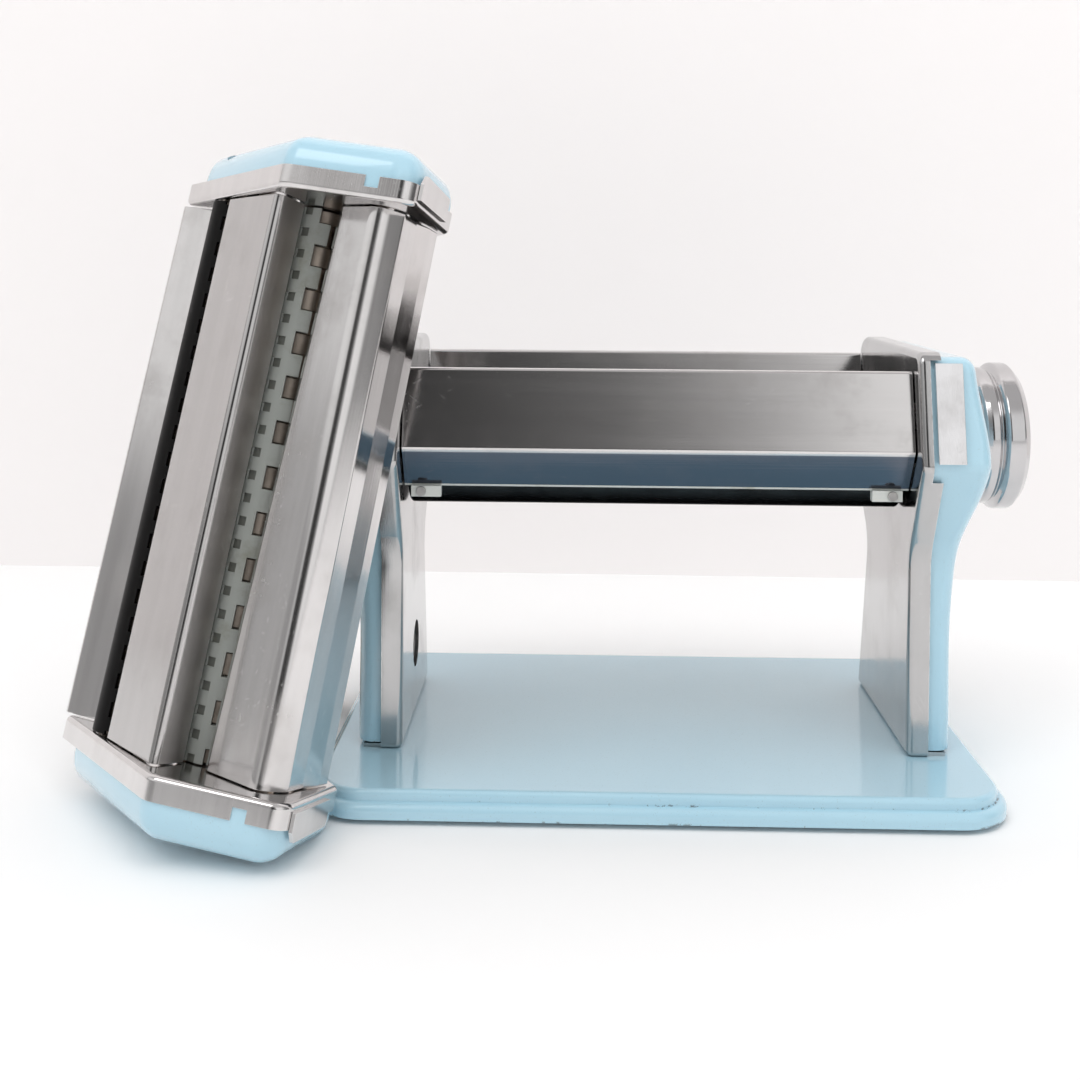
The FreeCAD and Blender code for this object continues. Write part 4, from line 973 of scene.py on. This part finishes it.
def lamp(name, place, target, size, energy, mirrored=True):
    light = bpy.data.lights.new(name, "AREA")
    light.shape = "SQUARE"
    light.size = size
    light.energy = energy
    piece = linked(name, light)
    piece.location = place
    piece.visible_glossy = mirrored
    piece.rotation_euler = (Vector(target) - Vector(place)).to_track_quat("-Z", "Y").to_euler()


def make_lamps():
    middle = (0.0, 0.0, 0.05)
    lamp("key_lamp", (0.15, -0.35, 1.1), middle, 0.9, staging().key, mirrored=False)
    lamp("fill_lamp", (1.0, -0.5, 0.55), middle, 0.7, staging().fill, mirrored=False)
    lamp("soft_lamp", (-0.62, -0.72, 1.25), (-0.12, -0.04, 0.09), 0.6, staging().soft)


def make_camera(scene):
    data = bpy.data.cameras.new("view_camera")
    data.sensor_width = 36.0
    data.lens = CAMERA_LENS
    data.shift_x, data.shift_y = CAMERA_SHIFT
    data.clip_start = 0.01
    camera = linked("view_camera", data)
    yaw, pitch, roll = CAMERA_TURN
    turn = (Matrix.Rotation(yaw, 4, "Z") @ Matrix.Rotation(pitch, 4, "X")
            @ Matrix.Rotation(roll, 4, "Y") @ Matrix.Rotation(math.pi / 2, 4, "X"))
    camera.matrix_world = Matrix.Translation(CAMERA_PLACE) @ turn
    scene.camera = camera


class DOUGH_OT_base(bpy.types.Operator):
    """Enamelled base plate on its rubber pad, with the screws of the legs"""
    bl_idname = "dough.base"
    bl_label = "Base"

    def execute(self, context):
        dressed("base_plate", "base_enamel", "blue_enamel", finish().enamel_round, 3)
        dressed("base_pad", "base_rubber", "black_rubber", finish().enamel_round)
        dressed("leg_screws", "leg_screw_set", "plain_steel")
        dressed("clamp_bush", "clamp_tube", "plain_steel")
        return {"FINISHED"}


class DOUGH_OT_sides(bpy.types.Operator):
    """Pressed side plates with their attachment rails, and the enamelled casings"""
    bl_idname = "dough.sides"
    bl_label = "Sides"

    def execute(self, context):
        for side in ("left", "right"):
            dressed(side + "_side_plate", side + "_plate_sheet", "plate_sheet_steel")
            dressed(side + "_rail", side + "_rail_strip", "rail_sheet_steel")
            dressed(side + "_casing", side + "_casing_shell", "blue_enamel",
                    finish().enamel_round, 3)
        return {"FINISHED"}


class DOUGH_OT_covers(bpy.types.Operator):
    """Folded covers, scrapers with their screws, and the tie rods"""
    bl_idname = "dough.covers"
    bl_label = "Covers"

    def execute(self, context):
        bm = merged("front_cover")
        for vert in bm.verts:
            vert.co.y += max(FRONT_FOLD - vert.co.z, 0.0) * FRONT_LEAN
        soften(finished("front_cover_sheet", bm, "front_cover", "cover_sheet_steel"),
               finish().edge_round)
        dressed("front_scraper", "front_scraper_bar", "moulded_plastic")
        dressed("rear_cover", "rear_cover_sheet", "sheet_steel")
        dressed("rear_scraper", "rear_scraper_bar", "moulded_plastic")
        dressed("scraper_screws", "scraper_screw_set", "plain_steel")
        dressed("tie_rods", "tie_rod_pair", "plain_steel")
        return {"FINISHED"}


class DOUGH_OT_rollers(bpy.types.Operator):
    """Smooth rollers, their gears, bearing blocks and bushes"""
    bl_idname = "dough.rollers"
    bl_label = "Rollers"

    def execute(self, context):
        for side in ("front", "rear"):
            dressed(side + "_roller", side + "_roller_body", side + "_roller_steel")
            dressed(side + "_roller_gear", side + "_gear_wheel", "plain_steel")
        for side in ("left", "right"):
            dressed(side + "_bearing_block", side + "_block", "plain_steel")
        dressed("front_bushes", "front_bush_pair", "moulded_plastic")
        return {"FINISHED"}


class DOUGH_OT_knob(bpy.types.Operator):
    """Turned thickness knob with its cap, spring, nut, shaft and bush"""
    bl_idname = "dough.knob"
    bl_label = "Thickness knob"

    def execute(self, context):
        centre, _ = joint_line("thickness_turn")
        centre.x = 0.0
        along = Vector((1, 0, 0))
        t = turning()
        x, rim, bore = t.knob_start, t.knob_radius, t.neck_radius
        end = x + t.knob_length
        profile = [(x, bore), (x, t.ring_radius - 2.4 * MM),
                   (x + 1.0 * MM, t.ring_radius - 0.8 * MM), (x + 3.4 * MM, t.ring_radius),
                   (x + 6.4 * MM, t.ring_radius), (x + 7.4 * MM, t.ring_radius - 0.9 * MM),
                   (x + 8.6 * MM, t.hump_radius - 0.6 * MM), (x + 10.4 * MM, t.hump_radius),
                   (x + 12.4 * MM, t.hump_radius - 0.1 * MM),
                   (x + 13.6 * MM, t.hump_radius - 0.9 * MM), (x + 14.8 * MM, rim - 0.4 * MM),
                   (x + 15.4 * MM, rim), (x + 19.6 * MM, rim), (x + 20.2 * MM, rim - 0.3 * MM),
                   (end, rim - 2.9 * MM), (end, rim - 4.6 * MM),
                   (end - 1.4 * MM, rim - 7.5 * MM), (end - 1.8 * MM, t.cap_radius),
                   (x + t.neck_depth, t.cap_radius), (x + t.neck_depth, bore)]
        bm = spun(profile, centre, along, t.steps)
        soften(finished("knob_body", bm, "knob", "knob_chrome", 50.0), 0.0005, 4, 14.0)
        cap = t.cap_radius - 0.02 * MM
        profile = [(end - 2.6 * MM, 0.0), (end - 2.6 * MM, cap), (end - 1.6 * MM, cap),
                   (end - 0.9 * MM, cap - 2.0 * MM), (end - 0.5 * MM, cap - 5.5 * MM),
                   (end - 0.4 * MM, 0.0)]
        bm = spun(profile, centre, along, t.steps)
        soften(finished("knob_cap_disc", bm, "knob_cap", "knob_chrome", 50.0), 0.0003, 3, 10.0)
        dressed("knob_nut", "knob_hex_nut", "plain_steel")
        dressed("knob_spring", "knob_coil", "plain_steel")
        dressed("adjuster_shaft", "eccentric_shaft", "plain_steel")
        dressed("adjuster_bush", "adjuster_collar", "moulded_plastic")
        return {"FINISHED"}


class DOUGH_OT_crank(bpy.types.Operator):
    """Chromed crank with its beech grip"""
    bl_idname = "dough.crank"
    bl_label = "Crank"

    def execute(self, context):
        dressed("crank_arm", "crank_bar", "crank_chrome", 0.0006, 3)
        dressed("crank_shaft", "crank_rod", "crank_chrome")
        dressed("crank_cross_pin", "crank_peg", "crank_chrome")
        dressed("grip_pin", "grip_rivet", "crank_chrome")
        dressed("crank_grip", "grip_barrel", "grip_beech", 0.0006, 3)
        return {"FINISHED"}


HEAD_SHEETS = (("cutter_top_plate", "head_top_end"), ("cutter_bottom_plate", "head_low_end"),
               ("cutter_front_lip", "head_inlet_lip"), ("cutter_ridge_cover", "head_roof"))


class DOUGH_OT_head(bpy.types.Operator):
    """Cutter head: end plates, folded sheets, end casings and rods"""
    bl_idname = "dough.head"
    bl_label = "Cutter head"

    def execute(self, context):
        for node, name in HEAD_SHEETS:
            # the ridge cover takes a darker copy of the head sheet, and its faces turned to
            # the machine a darker, rougher one: painted shade
            look = "ridge" if node == "cutter_ridge_cover" else "head"
            piece = dressed(node, name, look + "_sheet_steel")
            if node == "cutter_ridge_cover":
                piece.data.materials.append(material_for("head_shade_steel"))
                inwards = HEAD.to_3x3() @ Vector((1, 0, 0))
                for face in piece.data.polygons:
                    if face.normal.dot(inwards) > 0.8:
                        face.material_index = 1
        self.guard()
        for end, name in ((1, "top"), (-1, "bottom")):
            piece = finished("head_" + name + "_shell", casing_bmesh(end),
                             "cutter_" + name + "_casing", "blue_enamel", 40.0)
            if end > 0:
                holed(piece, (NARROW["left"], WIDE["right"]), SOCKET_HOLE)
        dressed("cutter_tie_rods", "head_rods", "plain_steel")
        return {"FINISHED"}

    def guard(self):
        """Guard beside the wide inlet: its free edge draws back towards the socket end."""
        bm = merged("cutter_rear_cover")
        bm.transform(HEAD.inverted())
        for vert in bm.verts:
            if vert.co.x < GUARD_BEND:
                height = max(vert.co.z, 0.0) / HEAD_HALF
                vert.co.x += height * GUARD_DRAW - GUARD_OPEN
                vert.co.y += (1.0 - height) * GUARD_DROP
        bm.transform(HEAD)
        soften(finished("head_guard", bm, "cutter_rear_cover", "head_sheet_steel"),
               finish().edge_round)


# size, pair, side, role, and how far the socket end passes the inner face of the end plate
CUTTERS = (("wide", WIDE, "left", "idler", 0.0095), ("wide", WIDE, "right", "drive", 0.0051),
           ("narrow", NARROW, "left", "drive", 0.0051),
           ("narrow", NARROW, "right", "idler", 0.0044))
# node, pair, side, angles of the bar, of the fingers and of the pockets, material
COMBS = (("wide_comb_left", WIDE, "left", (-136, -80), (-81, -58), (-114, -96),
          "comb_plastic"),
         ("wide_comb_right", WIDE, "right", (-104, -80), (-116, -98), (), "comb_plastic"),
         # the narrow combs are near black: painted shade in the narrow slot
         ("narrow_comb_left", NARROW, "left", (-166, -96), (-98, -76), (), "dark_plastic"),
         ("narrow_comb_right", NARROW, "right", (-92, -64), (-98, -74), (), "dark_plastic"))


class DOUGH_OT_cutters(bpy.types.Operator):
    """Ring cutters, their gears, bushes and stripper combs"""
    bl_idname = "dough.cutters"
    bl_label = "Cutters"

    def execute(self, context):
        for size, pair, side, role, reach in CUTTERS:
            bm = spun(cutter_profile(pair, side, HEAD_HALF + reach),
                      *head_axis(pair[side]), 64)
            finished(f"{size}_{role}_rings", bm, f"{size}_cutter_{role}", "cutter_steel", 30.0)
            dressed(f"{size}_{role}_gear", f"{size}_{role}_wheel", "plain_steel")
        for node, pair, side, bar, tips, pockets, material in COMBS:
            bm = comb_bmesh(pair, side, bar, tips, pockets)
            piece = finished(node + "_fingers", bm, node, material, 30.0)
            if pockets:
                # second slot: pocket floors in painted shade
                piece.data.materials.append(material_for("pocket_plastic"))
        dressed("cutter_bushes", "cutter_bush_set", "moulded_plastic")
        return {"FINISHED"}


class DOUGH_PT_panel(bpy.types.Panel):
    """Steps that dress the dough roller"""
    bl_idname = "DOUGH_PT_panel"
    bl_label = "Dough Roller"
    bl_space_type = "VIEW_3D"
    bl_region_type = "UI"
    bl_category = "Dough Roller"

    def draw(self, context):
        for operator in OPERATORS:
            self.layout.operator(operator.bl_idname)
        for group in (getattr(context.scene, key) for key in GROUPS):
            box = self.layout.box()
            for key in group.__annotations__:
                box.prop(group, key)


OPERATORS = (DOUGH_OT_stage, DOUGH_OT_base, DOUGH_OT_sides, DOUGH_OT_covers,
             DOUGH_OT_rollers, DOUGH_OT_knob, DOUGH_OT_crank, DOUGH_OT_head,
             DOUGH_OT_cutters)
GROUPS = {"dough_finish": FinishSettings, "dough_turned": TurnedSettings,
          "dough_stage": StageSettings}
CLASSES = (*GROUPS.values(), *OPERATORS, DOUGH_PT_panel)


def register():
    for cls in CLASSES:
        bpy.utils.register_class(cls)
    for key, group in GROUPS.items():
        setattr(bpy.types.Scene, key, bpy.props.PointerProperty(type=group))


def unregister():
    for key in GROUPS:
        delattr(bpy.types.Scene, key)
    for cls in reversed(CLASSES):
        bpy.utils.unregister_class(cls)


def main():
    register()
    for step in ("stage", "base", "sides", "covers", "rollers", "knob", "crank", "head",
                 "cutters"):
        getattr(bpy.ops.dough, step)()


if __name__ == "__main__":
    main()
